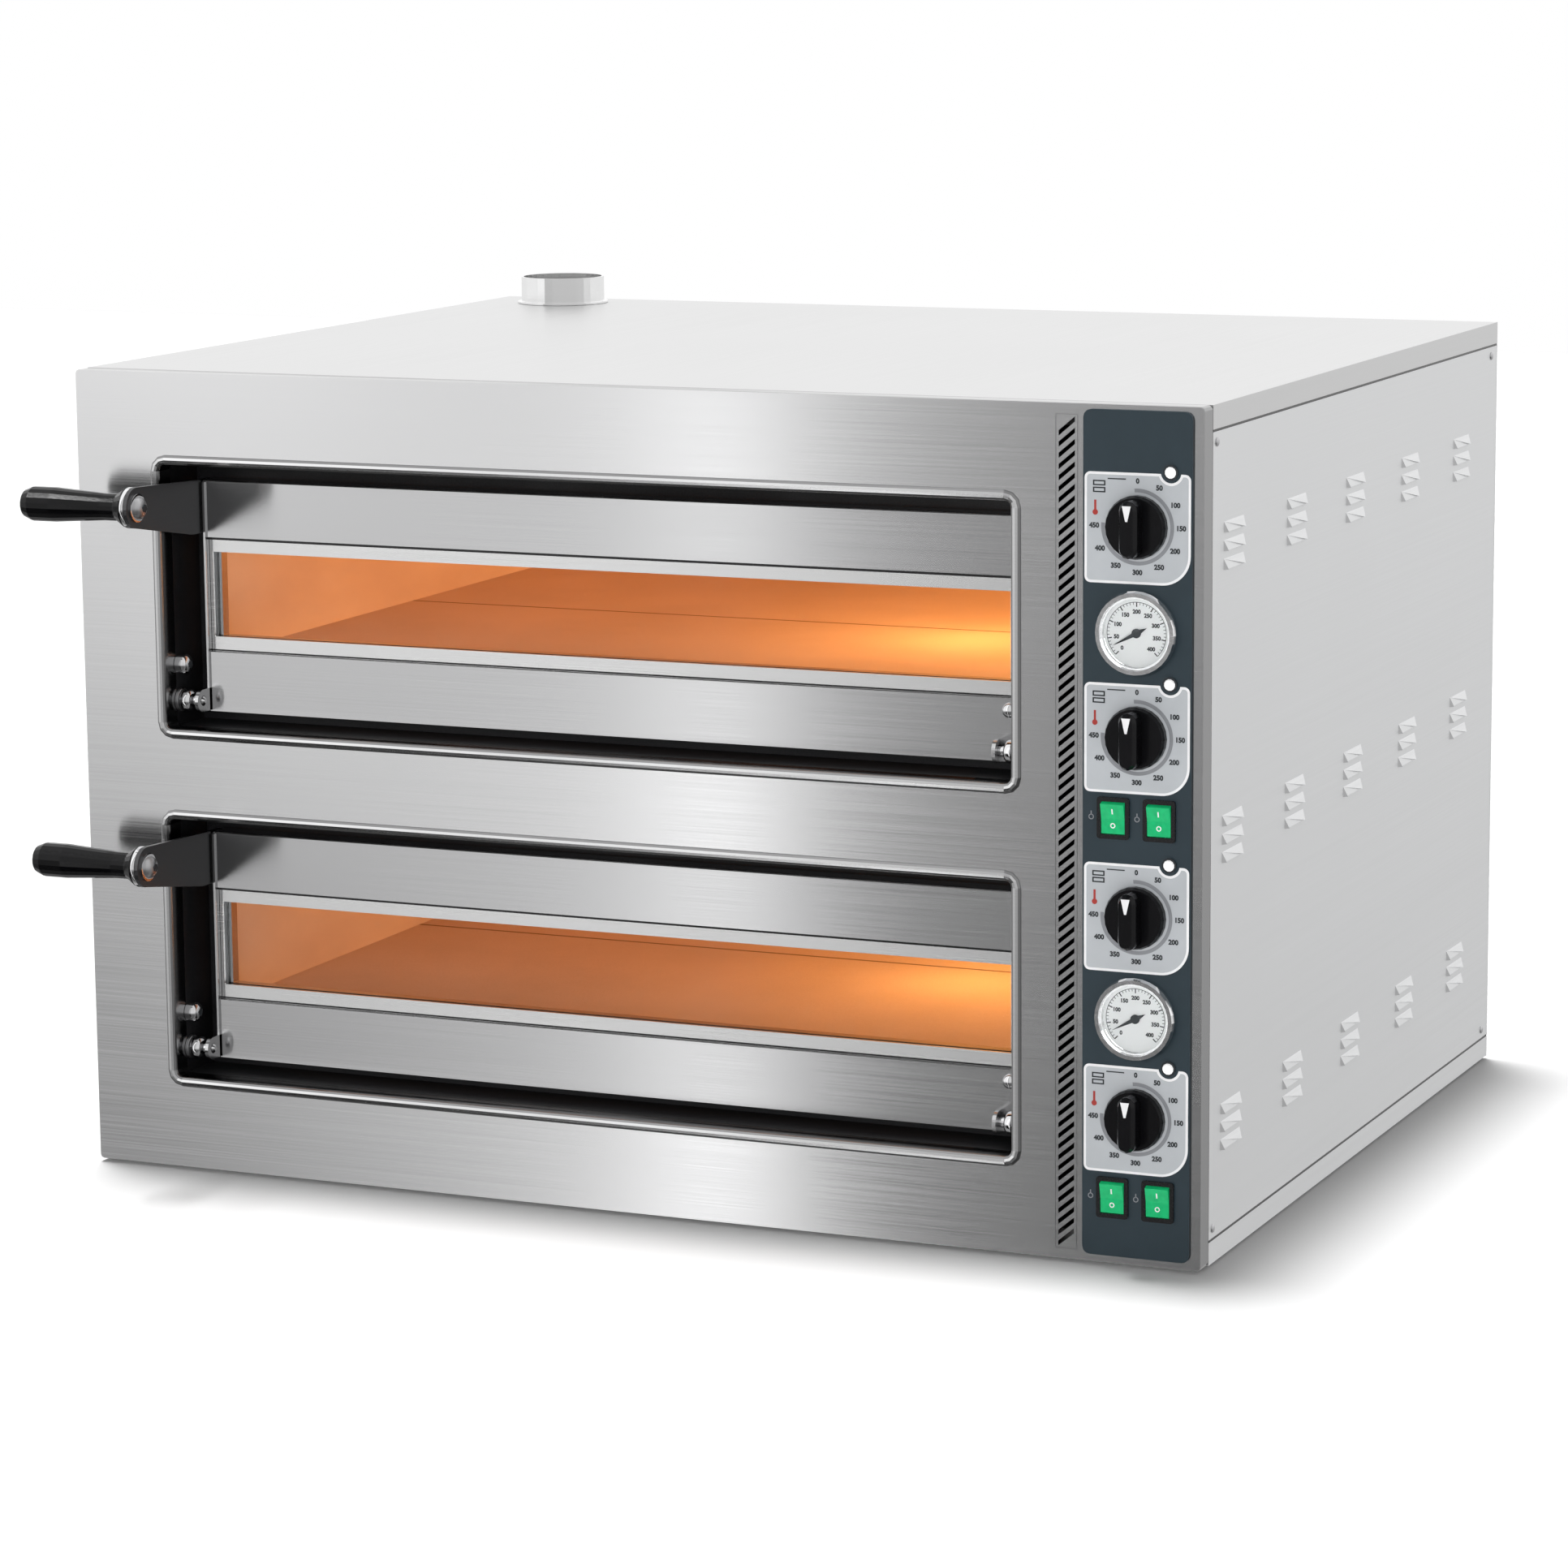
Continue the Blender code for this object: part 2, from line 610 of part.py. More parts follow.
def hinge_ear(deck, x):
    """Rounded lug in front of a door end, bored for the hinge pin."""
    y, z = hinge_point(deck)[1:]
    root = FRONT + DOOR_FACE + DOOR_THICKNESS / 4
    nose = [(y - EAR_RADIUS * math.sin(math.radians(a)), z + EAR_RADIUS * math.cos(math.radians(a)))
            for a in range(0, 181, 20)]
    outline = nose + [(root, z - EAR_RADIUS), (root, z + EAR_RADIUS)]
    hole = circle(y, z, PIN_RADIUS + GAP * 1.3, 20)
    ends = (x, x + EAR_THICKNESS)
    return stacked([on_x(outline, e) for e in ends], [[on_x(hole, e) for e in ends]])


def door_frame(deck, steel):
    """Folded door shell with a rebated window, and a hinge lug at each end."""
    z0 = ledge(deck)
    face = FRONT + DOOR_FACE
    rear = face + DOOR_THICKNESS
    seat = face + GLAZING_REBATE
    shell = rounded(DOOR_X0, DOOR_X1, z0 + DOOR_BOTTOM, z0 + DOOR_TOP, DOOR_CORNER, 2)
    rebate = rectangle(DOOR_X0 + DOOR_END_FLANGE, DOOR_X1 - DOOR_END_FLANGE,
                       z0 + GLAZING_BOTTOM, z0 + GLAZING_TOP)
    lip = rectangle(DOOR_X0 + DOOR_END_FLANGE + GLAZING_LIP, DOOR_X1 - DOOR_END_FLANGE - GLAZING_LIP,
                    z0 + GLAZING_BOTTOM + GLAZING_LIP, z0 + GLAZING_TOP - GLAZING_LIP)
    body = stacked([on_y(shell, face), on_y(shell, rear)],
                   [[on_y(rebate, face), on_y(rebate, seat), on_y(lip, seat), on_y(lip, rear)]])
    frame = add(DECKS[deck] + "_door_frame", body, steel, hinge_point(deck))
    for x in (DOOR_X0, DOOR_X1 - EAR_THICKNESS):
        unite(frame, hinge_ear(deck, x))


def door_glazing(deck, steel, glass):
    """Glass pane against the rebate, held by a thin frame with an upper and a lower strip."""
    z0 = ledge(deck)
    seat = FRONT + DOOR_FACE + GLAZING_REBATE - GAP
    pane_front = seat - GLASS_THICKNESS
    x0 = DOOR_X0 + DOOR_END_FLANGE + GAP
    x1 = DOOR_X1 - DOOR_END_FLANGE - GAP
    outline = rectangle(x0, x1, z0 + GLAZING_BOTTOM + GAP, z0 + GLAZING_TOP - GAP)
    view = rectangle(x0 + DOOR_END_FLANGE, x1 - DOOR_END_FLANGE, z0 + VIEW_BOTTOM, z0 + VIEW_TOP)
    levels = (FRONT + DOOR_FACE + GLAZING_SETBACK, pane_front - GAP)
    add(DECKS[deck] + "_door_glass", stacked([on_y(outline, pane_front), on_y(outline, seat)]), glass,
        hinge_point(deck))
    add(DECKS[deck] + "_glazing_frame",
        stacked([on_y(outline, y) for y in levels], [[on_y(view, y) for y in levels]]), steel,
        hinge_point(deck))


def door_handle(deck, dark_steel, black):
    """Plate arm on the door's left end, with a turned grip that points to the left."""
    z0 = ledge(deck)
    face = FRONT + DOOR_FACE
    tip_y = FRONT - HANDLE_REACH
    tip_z = z0 + HANDLE_HEIGHT
    nose = [(tip_y - BRACKET_TIP_RADIUS * math.sin(math.radians(a)),
             tip_z + BRACKET_TIP_RADIUS * math.cos(math.radians(a))) for a in range(0, 181, 15)]
    outline = nose + [(face - BRACKET_ROOT_DEPTH, z0 + BRACKET_ROOT_BOTTOM + GAP),
                      (face + BRACKET_ROOT_DEPTH, z0 + BRACKET_ROOT_BOTTOM),
                      (face + BRACKET_ROOT_DEPTH, z0 + DOOR_TOP), (face, z0 + DOOR_TOP)]
    plate_x = DOOR_X0 - GAP
    ends = (plate_x - BRACKET_THICKNESS, plate_x)
    add(DECKS[deck] + "_handle_bracket", stacked([on_x(outline, e) for e in ends]), dark_steel,
        hinge_point(deck))
    bulge = GRIP_LENGTH * 0.7
    profile = [(0, 0), (GRIP_COLLAR_RADIUS, 0), (GRIP_COLLAR_RADIUS, GRIP_LENGTH * 0.05),
               (GRIP_NECK_RADIUS, GRIP_LENGTH * 0.13), (GRIP_NECK_RADIUS, GRIP_LENGTH * 0.25),
               (GRIP_RADIUS, bulge), (GRIP_RADIUS, GRIP_LENGTH * 0.9),
               (GRIP_RADIUS * 0.8, GRIP_LENGTH * 0.97), (GRIP_RADIUS * 0.4, GRIP_LENGTH), (0, GRIP_LENGTH)]
    add(DECKS[deck] + "_handle_grip", turned(profile, (ends[0] - GAP, tip_y, tip_z), (-1, 0, 0), 20), black,
        hinge_point(deck))


def hinge_pins(deck, steel):
    """Flanged pivot pins on the side walls of the door well."""
    reach = DOOR_END_GAP + EAR_THICKNESS + PIN_PAST_EAR - GAP
    profile = [(0, 0), (PIN_FLANGE_RADIUS, 0), (PIN_FLANGE_RADIUS, PIN_FLANGE), (PIN_RADIUS, PIN_FLANGE),
               (PIN_RADIUS, reach - PIN_RADIUS / 2), (PIN_RADIUS / 2, reach), (0, reach)]
    y, z = hinge_point(deck)[1:]
    for side, x, inward in (("left", OPENING_X0 + GAP, 1), ("right", OPENING_X1 - GAP, -1)):
        add(f"{DECKS[deck]}_{side}_hinge_pin", turned(profile, (x, y, z), (inward, 0, 0), 14), steel)


def fascia(enamel):
    """Control fascia with holes for spindles, thermometers, switches and pilot lamps."""
    cuts = []
    for z in KNOB_HEIGHTS:
        cuts.append(circle(FASCIA_X, z, SPINDLE_HOLE_RADIUS, 16))
        cuts.append(circle(FASCIA_X + PILOT_RIGHT, z + PILOT_UP, PILOT_BODY_RADIUS + 2 * GAP, 16))
    for z in GAUGE_HEIGHTS:
        cuts.append(circle(FASCIA_X, z, GAUGE_BODY_RADIUS + 2 * GAP, 32))
    for x, z in switch_places():
        half_width = SWITCH_BODY_WIDTH / 2 + GAP
        half_height = SWITCH_BODY_HEIGHT / 2 + GAP
        cuts.append(rectangle(x - half_width, x + half_width, z - half_height, z + half_height))
    outline = rounded(FASCIA_X0, FASCIA_X1, FASCIA_BOTTOM, FASCIA_Z1, FASCIA_CORNER)
    faces = (FASCIA_FRONT, FRONT - GAP)
    add("control_fascia", stacked([on_y(outline, y) for y in faces],
                                  [[on_y(cut, y) for y in faces] for cut in cuts]), enamel)


def switch_places():
    return [(FASCIA_X + side * SWITCH_OFFSET, z) for z in SWITCH_HEIGHTS for side in (-1, 1)]


def thermostat(number, z, grey, black, lamp_white):
    """Thermostat body behind the fascia, its knob with spindle, and its pilot lamp."""
    half = THERMOSTAT_SIZE / 2
    outline = rounded(FASCIA_X - half, FASCIA_X + half, z - half, z + half, THERMOSTAT_CORNER, 2)
    bore = circle(FASCIA_X, z, SPINDLE_RADIUS + 2 * GAP, 16)
    levels = (FRONT, FRONT + THERMOSTAT_DEPTH)
    add(f"thermostat_{number}", stacked([on_y(outline, y) for y in levels], [[on_y(bore, y) for y in levels]]),
        grey)

    seat = (FASCIA_X, FASCIA_FRONT - GAP, z)
    entry = seat[1] - (FRONT + SPINDLE_ENTRY)
    profile = [(0, entry), (SPINDLE_RADIUS, entry), (SPINDLE_RADIUS, 0), (KNOB_RADIUS, 0),
               (KNOB_RADIUS, KNOB_SKIRT * 0.6), (KNOB_RADIUS * 0.94, KNOB_SKIRT), (0, KNOB_SKIRT)]
    knob = add(f"thermostat_knob_{number}", turned(profile, seat, (0, -1, 0), 24), black, seat)
    half_bar = KNOB_BAR_WIDTH / 2
    reach = KNOB_RADIUS * 0.9
    foot = rounded(FASCIA_X - half_bar, FASCIA_X + half_bar, z - reach, z + reach, half_bar * 0.98)
    crest = rounded(FASCIA_X - half_bar * 0.7, FASCIA_X + half_bar * 0.7, z - reach * 0.9, z + reach * 0.9,
                    half_bar * 0.68)
    unite(knob, stacked([on_y(foot, seat[1] - KNOB_SKIRT / 2), on_y(foot, seat[1] - KNOB_DEPTH * 0.85),
                         on_y(crest, seat[1] - KNOB_DEPTH)]))

    place = (FASCIA_X + PILOT_RIGHT, FASCIA_FRONT, z + PILOT_UP)
    profile = [(0, -PILOT_DEPTH), (PILOT_BODY_RADIUS, -PILOT_DEPTH), (PILOT_BODY_RADIUS, GAP),
               (PILOT_FLANGE_RADIUS, GAP), (PILOT_FLANGE_RADIUS, SHEET), (PILOT_DOME_RADIUS, SHEET),
               (PILOT_DOME_RADIUS * 0.8, SHEET * 2), (0, SHEET * 2.5)]
    add(f"pilot_lamp_{number}", turned(profile, place, (0, -1, 0), 12), lamp_white)


def thermometer(deck, chrome, black, glass):
    """Dial thermometer: cup with a bezel, a needle on the dial and a clear lens."""
    z = GAUGE_HEIGHTS[deck]
    centre = (FASCIA_X, FASCIA_FRONT, z)
    profile = [(0, -GAUGE_DEPTH), (GAUGE_BODY_RADIUS, -GAUGE_DEPTH), (GAUGE_BODY_RADIUS, GAP),
               (BEZEL_RADIUS, GAP), (BEZEL_RADIUS, BEZEL_PROUD * 0.6), (BEZEL_RADIUS * 0.96, BEZEL_PROUD),
               (LENS_RADIUS + GAP, BEZEL_PROUD), (LENS_RADIUS + GAP, LENS_SEAT), (DIAL_RADIUS, LENS_SEAT),
               (DIAL_RADIUS, DIAL_LEVEL), (0, DIAL_LEVEL)]
    add(f"{DECKS[deck]}_thermometer_case", turned(profile, centre, (0, -1, 0), 32), chrome)
    pane = [(0, LENS_SEAT + GAP), (LENS_RADIUS, LENS_SEAT + GAP),
            (LENS_RADIUS, LENS_SEAT + GAP + LENS_THICKNESS), (0, LENS_SEAT + GAP + LENS_THICKNESS)]
    add(f"{DECKS[deck]}_thermometer_lens", turned(pane, centre, (0, -1, 0), 32), glass)

    def polar(radius, degrees):
        angle = NEEDLE_REST + math.radians(degrees)
        return (FASCIA_X + radius * math.cos(angle), z + radius * math.sin(angle))

    outline = [polar(NEEDLE_LENGTH, 0)] + [polar(NEEDLE_HUB, a) for a in range(25, 156, 26)]
    outline += [polar(NEEDLE_TAIL, 180)] + [polar(NEEDLE_HUB, a) for a in range(205, 336, 26)]
    low = FASCIA_FRONT - DIAL_LEVEL - GAP
    add(f"{DECKS[deck]}_thermometer_needle",
        stacked([on_y(outline, low), on_y(outline, low - NEEDLE_THICKNESS)]), black, (FASCIA_X, low, z))


def rocker_switch(number, x, z, black, green):
    """Rocker switch: a flanged square sleeve with a saddle-shaped rocker inside."""
    def sleeve(width, height, proud):
        return on_y(rounded(x - width / 2, x + width / 2, z - height / 2, z + height / 2, SWITCH_CORNER, 2),
                    FASCIA_FRONT - proud)

    half_width = ROCKER_WIDTH / 2 + GAP
    half_height = ROCKER_RADIUS + GAP
    pocket = rectangle(x - half_width, x + half_width, z - half_height, z + half_height)
    body = (SWITCH_BODY_WIDTH, SWITCH_BODY_HEIGHT)
    flange = (SWITCH_FLANGE_WIDTH, SWITCH_FLANGE_HEIGHT)
    outer = [sleeve(*flange, SWITCH_PROUD), sleeve(*flange, GAP), sleeve(*body, GAP), sleeve(*body, -SWITCH_DEPTH)]
    add(f"switch_housing_{number}",
        stacked(outer, [[on_y(pocket, FASCIA_FRONT - SWITCH_PROUD), on_y(pocket, FASCIA_FRONT + SWITCH_DEPTH)]]),
        black)

    pivot = (x, FASCIA_FRONT - ROCKER_PIVOT, z)

    def polar(radius, degrees):
        angle = math.radians(degrees) + ROCKER_REST
        return (pivot[1] - radius * math.sin(angle), z + radius * math.cos(angle))

    arc = range(-25, 21, 9)
    outline = [polar(ROCKER_RADIUS, a) for a in arc] + [polar(ROCKER_SADDLE, 90)]
    outline += [polar(ROCKER_RADIUS, 180 - a) for a in reversed(arc)]
    ends = (x - ROCKER_WIDTH / 2, x + ROCKER_WIDTH / 2)
    add(f"switch_rocker_{number}", stacked([on_x(outline, e) for e in ends]), green, pivot)


def build():
    for item in list(bpy.data.objects):
        bpy.data.objects.remove(item)

    brushed = finish("brushed_steel", (0.62, 0.62, 0.62), 0.32, 1.0)
    bright = finish("bright_steel", (0.78, 0.78, 0.78), 0.15, 1.0)
    dark_steel = finish("dark_steel", (0.09, 0.09, 0.10), 0.4, 0.8)
    black_enamel = finish("black_enamel", (0.02, 0.02, 0.022), 0.35)
    fascia_grey = finish("fascia_enamel", (0.035, 0.055, 0.072), 0.4)
    black_plastic = finish("black_plastic", (0.012, 0.012, 0.013), 0.3)
    body_grey = finish("control_body", (0.30, 0.31, 0.32), 0.5)
    green_lens = finish("green_lens", (0.01, 0.52, 0.16), 0.2)
    lamp_white = finish("lamp_white", (0.9, 0.9, 0.88), 0.2)
    clear_glass = finish("clear_glass", (0.95, 0.97, 0.97), 0.02, 0.0, 0.9)
    fire_stone = finish("fire_stone", (0.55, 0.47, 0.38), 0.9)
    heater_sheath = finish("heater_sheath", (0.16, 0.15, 0.14), 0.5, 0.9)

    casing(brushed, black_plastic)
    for deck in range(len(DECKS)):
        chamber(deck, black_enamel, fire_stone, heater_sheath, lamp_white)
        door_frame(deck, brushed)
        door_glazing(deck, bright, clear_glass)
        door_handle(deck, dark_steel, black_plastic)
        hinge_pins(deck, bright)
        thermometer(deck, bright, black_plastic, clear_glass)
    fascia(fascia_grey)
    for number, z in enumerate(KNOB_HEIGHTS, 1):
        thermostat(number, z, body_grey, black_plastic, lamp_white)
    for number, (x, z) in enumerate(switch_places(), 1):
        rocker_switch(number, x, z, black_plastic, green_lens)


build()
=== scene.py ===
"""Looks of the two-deck pizza oven: finishes, glazed doors, dial plates, marks and fasteners."""
import json
import math

import bpy
import numpy as np
from mathutils import Matrix, Vector


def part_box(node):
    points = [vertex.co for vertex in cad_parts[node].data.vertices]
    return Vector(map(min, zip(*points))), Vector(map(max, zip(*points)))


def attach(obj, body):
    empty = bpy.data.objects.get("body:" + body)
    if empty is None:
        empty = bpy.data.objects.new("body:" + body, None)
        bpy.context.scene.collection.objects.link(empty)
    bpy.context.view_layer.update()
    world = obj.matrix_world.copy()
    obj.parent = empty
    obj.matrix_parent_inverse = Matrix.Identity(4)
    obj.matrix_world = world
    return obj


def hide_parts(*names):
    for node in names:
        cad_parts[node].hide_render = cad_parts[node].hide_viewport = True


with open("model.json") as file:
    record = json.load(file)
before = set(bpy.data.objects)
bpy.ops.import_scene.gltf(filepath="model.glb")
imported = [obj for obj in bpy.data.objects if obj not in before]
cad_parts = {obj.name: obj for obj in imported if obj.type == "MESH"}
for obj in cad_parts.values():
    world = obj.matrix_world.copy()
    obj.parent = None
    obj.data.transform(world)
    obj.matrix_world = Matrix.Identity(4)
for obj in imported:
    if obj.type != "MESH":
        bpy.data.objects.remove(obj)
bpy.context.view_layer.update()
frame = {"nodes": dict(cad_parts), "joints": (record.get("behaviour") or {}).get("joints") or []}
nodes = frame["nodes"]
joints = {joint["name"]: joint for joint in frame["joints"]}

# Places read from the frame
DECKS = ("lower", "upper")
front_low, front_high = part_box("front_panel")
SIDES = (("left", front_low.x, -1), ("right", front_high.x, 1))
FASCIA_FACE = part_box("control_fascia")[0].y
SIDE_LOW, SIDE_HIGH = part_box("right_side_panel")
CHAMBER_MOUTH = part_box("lower_deck_stone")[0].y

# Films printed on the fascia and the dials, thinner than the gap under the knobs and needles
FILM_LIFT = 0.00004
FILM = 0.00012
INK_LIFT = 0.00018
INK = 0.00008
BORDER_PROUD = 0.00004

# Type size and boldness of printed numbers, as shares of a figure's height
TYPE_SIZE = 1.4
TYPE_BOLD = 0.075

# Dial plates
PLATE_HALF_WIDTH = 0.0408
PLATE_UP = 0.0393
PLATE_DOWN = 0.0418
PLATE_CORNER = 0.0045
PLATE_SWEEP = 0.022
PLATE_BORDER = 0.0019
NOTCH_RADIUS = 0.0078
NUMBER_RADIUS = 0.0333
NUMBER_HEIGHT = 0.0036
NUMBER_STEP = 30
TEMPERATURE_STEP = 50
NUMBER_COUNT = 10
SWEEP_OUTER = 0.0280
SWEEP_INNER = 0.0252
SWEEP_START = -185
SWEEP_STOP = 95

# Symbols on a dial plate: places from the knob's axis, and sizes
RULE_PLACE = (-0.016, 0.0345)
RULE_SIZE = (0.014, 0.0009)
SHELF_PLACES = ((-0.0295, 0.0312), (-0.0295, 0.0262))
SHELF_OUTER = (0.0096, 0.0040)
SHELF_INNER = (0.0074, 0.0020)
HEAT_STEM_PLACE = (-0.0325, 0.0150)
HEAT_STEM_SIZE = (0.0017, 0.0075)
HEAT_BULB_PLACE = (-0.0325, 0.0098)
HEAT_BULB_RADIUS = 0.0021
HEAT_BULB_PROUD = 0.00003

# White index on a knob, measured from the knob's axis
INDEX_TIP = 0.0178
INDEX_ROOT = 0.0065
INDEX_TIP_HALF = 0.0034
INDEX_ROOT_HALF = 0.0008
INDEX_SUNK = 0.00005
INDEX_THICKNESS = 0.0002

# Thermometer dial, with its ticks as (length, width)
CARD_RADIUS = 0.0252
CARD_BEHIND_PIVOT = 0.0003
CARD_LIFT = 0.00003
SCALE_LIFT = 0.00016
SCALE_RADIUS = 0.0226
SCALE_LINE = 0.0004
SCALE_START = 225
SCALE_SWEEP = 270
SCALE_TICKS = 40
LONG_TICK_EVERY = 5
LONG_TICK = (0.0032, 0.0008)
SHORT_TICK = (0.0017, 0.0004)
SCALE_NUMBER_RADIUS = 0.0158
SCALE_NUMBER_HEIGHT = 0.0029

# Marks beside a switch and on its rocker, with rings as (outer, inner) radius
SYMBOL_GAP = 0.0050
SYMBOL_RING = (0.0021, 0.0014)
SYMBOL_STEM_UP = 0.0030
SYMBOL_STEM = (0.0008, 0.0028)
ON_MARK_UP = 0.0052
ON_MARK = (0.0010, 0.0040)
OFF_MARK_DOWN = 0.0055
OFF_MARK_RING = (0.0020, 0.0012)
MARK_LIFT = 0.00002
MARK_THICKNESS = 0.0001
ROCKER_TIP_FROM = 0.004

# Pilot lamp's dark flange, behind its dome
PILOT_FLANGE = 0.0017
PILOT_FLANGE_SOFT = 0.0001

# Fastener heads as (radius, height of the dome, height of the foot)
HINGE_BOLT = (0.0088, 0.0042, 0.0032)
HINGE_COLLAR = (0.0094, 0.0010, 0.0022)
STOP_BOLT = (0.0082, 0.0046, 0.0058)
HANDLE_WASHER = (0.0112, 0.0006, 0.0012)
HANDLE_BOLT = (0.0085, 0.0050, 0.0010)
DOOR_SCREW = (0.0058, 0.0040, 0.0012)
PANEL_SCREW = (0.0034, 0.0012, 0.0009)

# A dome's rows, and how far they go towards its pole
DOME_ROWS = 6
DOME_REACH = 0.96

# Hexagonal sockets as (radius, depth)
STOP_SOCKET = (0.0032, 0.0006)
HANDLE_SOCKET = (0.0034, 0.0008)

# Places of the fasteners
HINGE_BOLT_OUT = 0.0062
STOP_FORWARD = 0.001
STOP_RISE = 0.029
STOP_SOCKET_OUT = 0.0098
HANDLE_WASHER_GAP = 0.0001
HANDLE_BOLT_OUT = 0.0012
HANDLE_SOCKET_OUT = 0.0066
DOOR_SCREW_INSET = 0.0065
PANEL_SCREW_INSET = 0.0085
PANEL_SCREW_SUNK = 0.0005

# Ferrule at a grip's root, as (radius, distance from the root)
FERRULE = ((0.0100, 0.0), (0.0157, 0.0002), (0.0160, 0.0012), (0.0160, 0.0030), (0.0152, 0.0038),
           (0.0100, 0.0039))

# Door: skin and glazing strips that run to both ends, as in the photograph
DOOR_THICKNESS = 0.020
DOOR_END_CLEAR = 0.0072
DOOR_EDGE = 0.0012
DOOR_EDGE_SHARE = 0.3
DOOR_CORNER = 0.002
END_FLANGE = 0.003
END_RIB = 0.002
END_RIB_SUNK = 0.0005
END_LIP = 0.010
STRIP_HEIGHT = 0.012
STRIP_END = 0.0055
STRIP_SETBACK = 0.004
STRIP_THICKNESS = 0.0024
STRIP_CORNER = 0.0005
STRIP_GAP = 0.0003
PANE_SETBACK = 0.0067
PANE_THICKNESS = 0.004
PANE_SEAT = 0.011
LUG_THICKNESS = 0.003
LUG_RADIUS = 0.009
LUG_BORE = 0.0041
LUG_ROOT = 0.005
LUG_POINTS = 32
# Dark lines along the glazing strips' upper and lower edges: painted shade under the door panel's edges
SHADE_LINE = 0.0024
SHADE_LINE_LIFT = 0.0001
SHADE_LINE_THICKNESS = 0.0004

# The chamber over its stone, and a level between the two faces of the liner's sheet
CHAMBER_HEIGHT = 0.136
CHAMBER_MARGIN = 0.003
SHEET_SPLIT = 0.0010
STONE_JOINT = 0.004

# Painted light: the warm glow painted into the chamber's walls grows between these places towards the lamp
PAINTED_LAMP_LIGHT_START = -0.10
PAINTED_LAMP_LIGHT_END = 0.30
PAINTED_LAMP_LIGHT_COLOUR = (2.3, 1.05, 0.26)

# Dark lines along the joints between the side sheets and the folds over and under them: the joints are real,
# their darkness is painted shade in the gaps
SEAM_HEIGHT = 0.0018
SEAM_PROUD = 0.00015
SEAM_SUNK = 0.0002

# A surface faces along an axis above the first share of its normal, and is turned away below the second;
# painted shade darkens the faces that are turned away
FACING = 0.98
TURNED_AWAY = 0.85

# Camera fitted to the photograph, whose frame is square
CAMERA_PLACE = (1.6581, -3.8468, 1.009)
CAMERA_YAW = math.radians(23.692)
CAMERA_PITCH = math.radians(9.949)
CAMERA_ROLL = math.radians(-0.507)
CAMERA_LENS = 117.19
CAMERA_SENSOR = 36.0
CAMERA_REACH = 60

# Share of the studio's light that falls on matt surfaces
DIFFUSE_SHARE = 0.24

# The floor lies a little under the casing, which leaves a dark line along its foot
FLOOR_LEVEL = -0.003
FLOOR_REACH = 7.0
FLOOR_WHITE = 1.5
FLOOR_WHITE_SHARE = 0.04

# Studio seen in the front sheets: (degrees to the left, level), for reflections from above and below
STUDIO_FIRST, STUDIO_LAST = 10.0, 40.0
STUDIO_ABOVE = ((10.0, 0.60), (18.0, 0.36), (21.2, 0.39), (22.7, 0.56), (23.7, 0.72), (24.5, 2.35),
                (25.2, 0.92), (26.7, 0.94), (29.8, 1.10), (31.4, 0.98), (40.0, 0.85))
STUDIO_BELOW = ((10.0, 0.30), (18.0, 0.14), (21.2, 0.17), (22.7, 0.05), (23.7, 0.06), (24.5, 3.60),
                (25.2, 0.94), (26.7, 0.74), (28.2, 0.60), (29.8, 0.34), (31.4, 0.02), (40.0, 0.40))

# Heights between which the studio goes from below to above, with the shares there, and its levels at the rear
STUDIO_FRONT_HEIGHTS = (-0.34, -0.06)
STUDIO_FRONT_SHARES = (-0.6, 1.4)
STUDIO_REAR_HEIGHTS = (-0.26, 0.10)
STUDIO_REAR_LEVELS = (0.56, 1.14)
STUDIO_FRONT_TO_REAR = (-0.25, 0.35)

# Suns: key from above, fill from the front
KEY_DIRECTION = (0.10, -0.075, -1.0)
KEY_POWER = 3.0
KEY_SPREAD = math.radians(11)
FILL_DIRECTION = (-0.15, 1.0, -0.20)
FILL_POWER = 1.25
FILL_SPREAD = math.radians(30)

# Narrow strip that gives the black mouldings their gloss
GLOSS_PLACE = (-0.4, -1.5, 2.1)
GLOSS_TARGET = (-0.2, -0.4, 0.4)
GLOSS_SIZE = (3.2, 0.10)
GLOSS_POWER = 40

# Warm light in the chambers: an even heat from above and the glow of the lamp
DECK_POWER = {"lower": 0.75, "upper": 1.0}
HEAT_SIZE = (0.60, 0.56)
HEAT_POWER = 0.36
HEAT_COLOUR = (1.0, 0.40, 0.15)
HEAT_OVER_LAMP = 0.008
GLOW_POWER = 0.80
GLOW_COLOUR = (1.0, 0.50, 0.15)
GLOW_INWARD = 0.12
GLOW_DEEPER = 0.08
GLOW_RADIUS = 0.05


# Material building blocks

def make_node(tree, kind, **values):
    """A new shader node with constant values set on its inputs."""
    node = tree.nodes.new(f"ShaderNode{kind}")
    for entry, value in values.items():
        node.inputs[entry.replace("_", " ")].default_value = value
    return node


def start_material(name, colour=(0.5, 0.5, 0.5), roughness=0.5, metallic=0.0, **sockets):
    """A Principled material with constant values set on the shader's own sockets."""
    material = bpy.data.materials.new(name)
    material.use_nodes = True
    tree = material.node_tree
    shader = tree.nodes["Principled BSDF"]
    shader.inputs["Base Color"].default_value = (*colour, 1.0)
    shader.inputs["Roughness"].default_value = roughness
    shader.inputs["Metallic"].default_value = metallic
    for socket, value in sockets.items():
        shader.inputs[socket.replace("_", " ")].default_value = value
    return material, tree, shader


def feed(tree, shader, **sockets):
    """Link values to a shader's own sockets."""
    for socket, value in sockets.items():
        tree.links.new(value, shader.inputs[socket.replace("_", " ")])


def object_coordinates(tree, scale=(1, 1, 1)):
    """Object coordinates, stretched by a scale."""
    source = make_node(tree, "TexCoord")
    mapping = make_node(tree, "Mapping", Scale=scale)
    tree.links.new(source.outputs["Object"], mapping.inputs["Vector"])
    return mapping.outputs["Vector"]


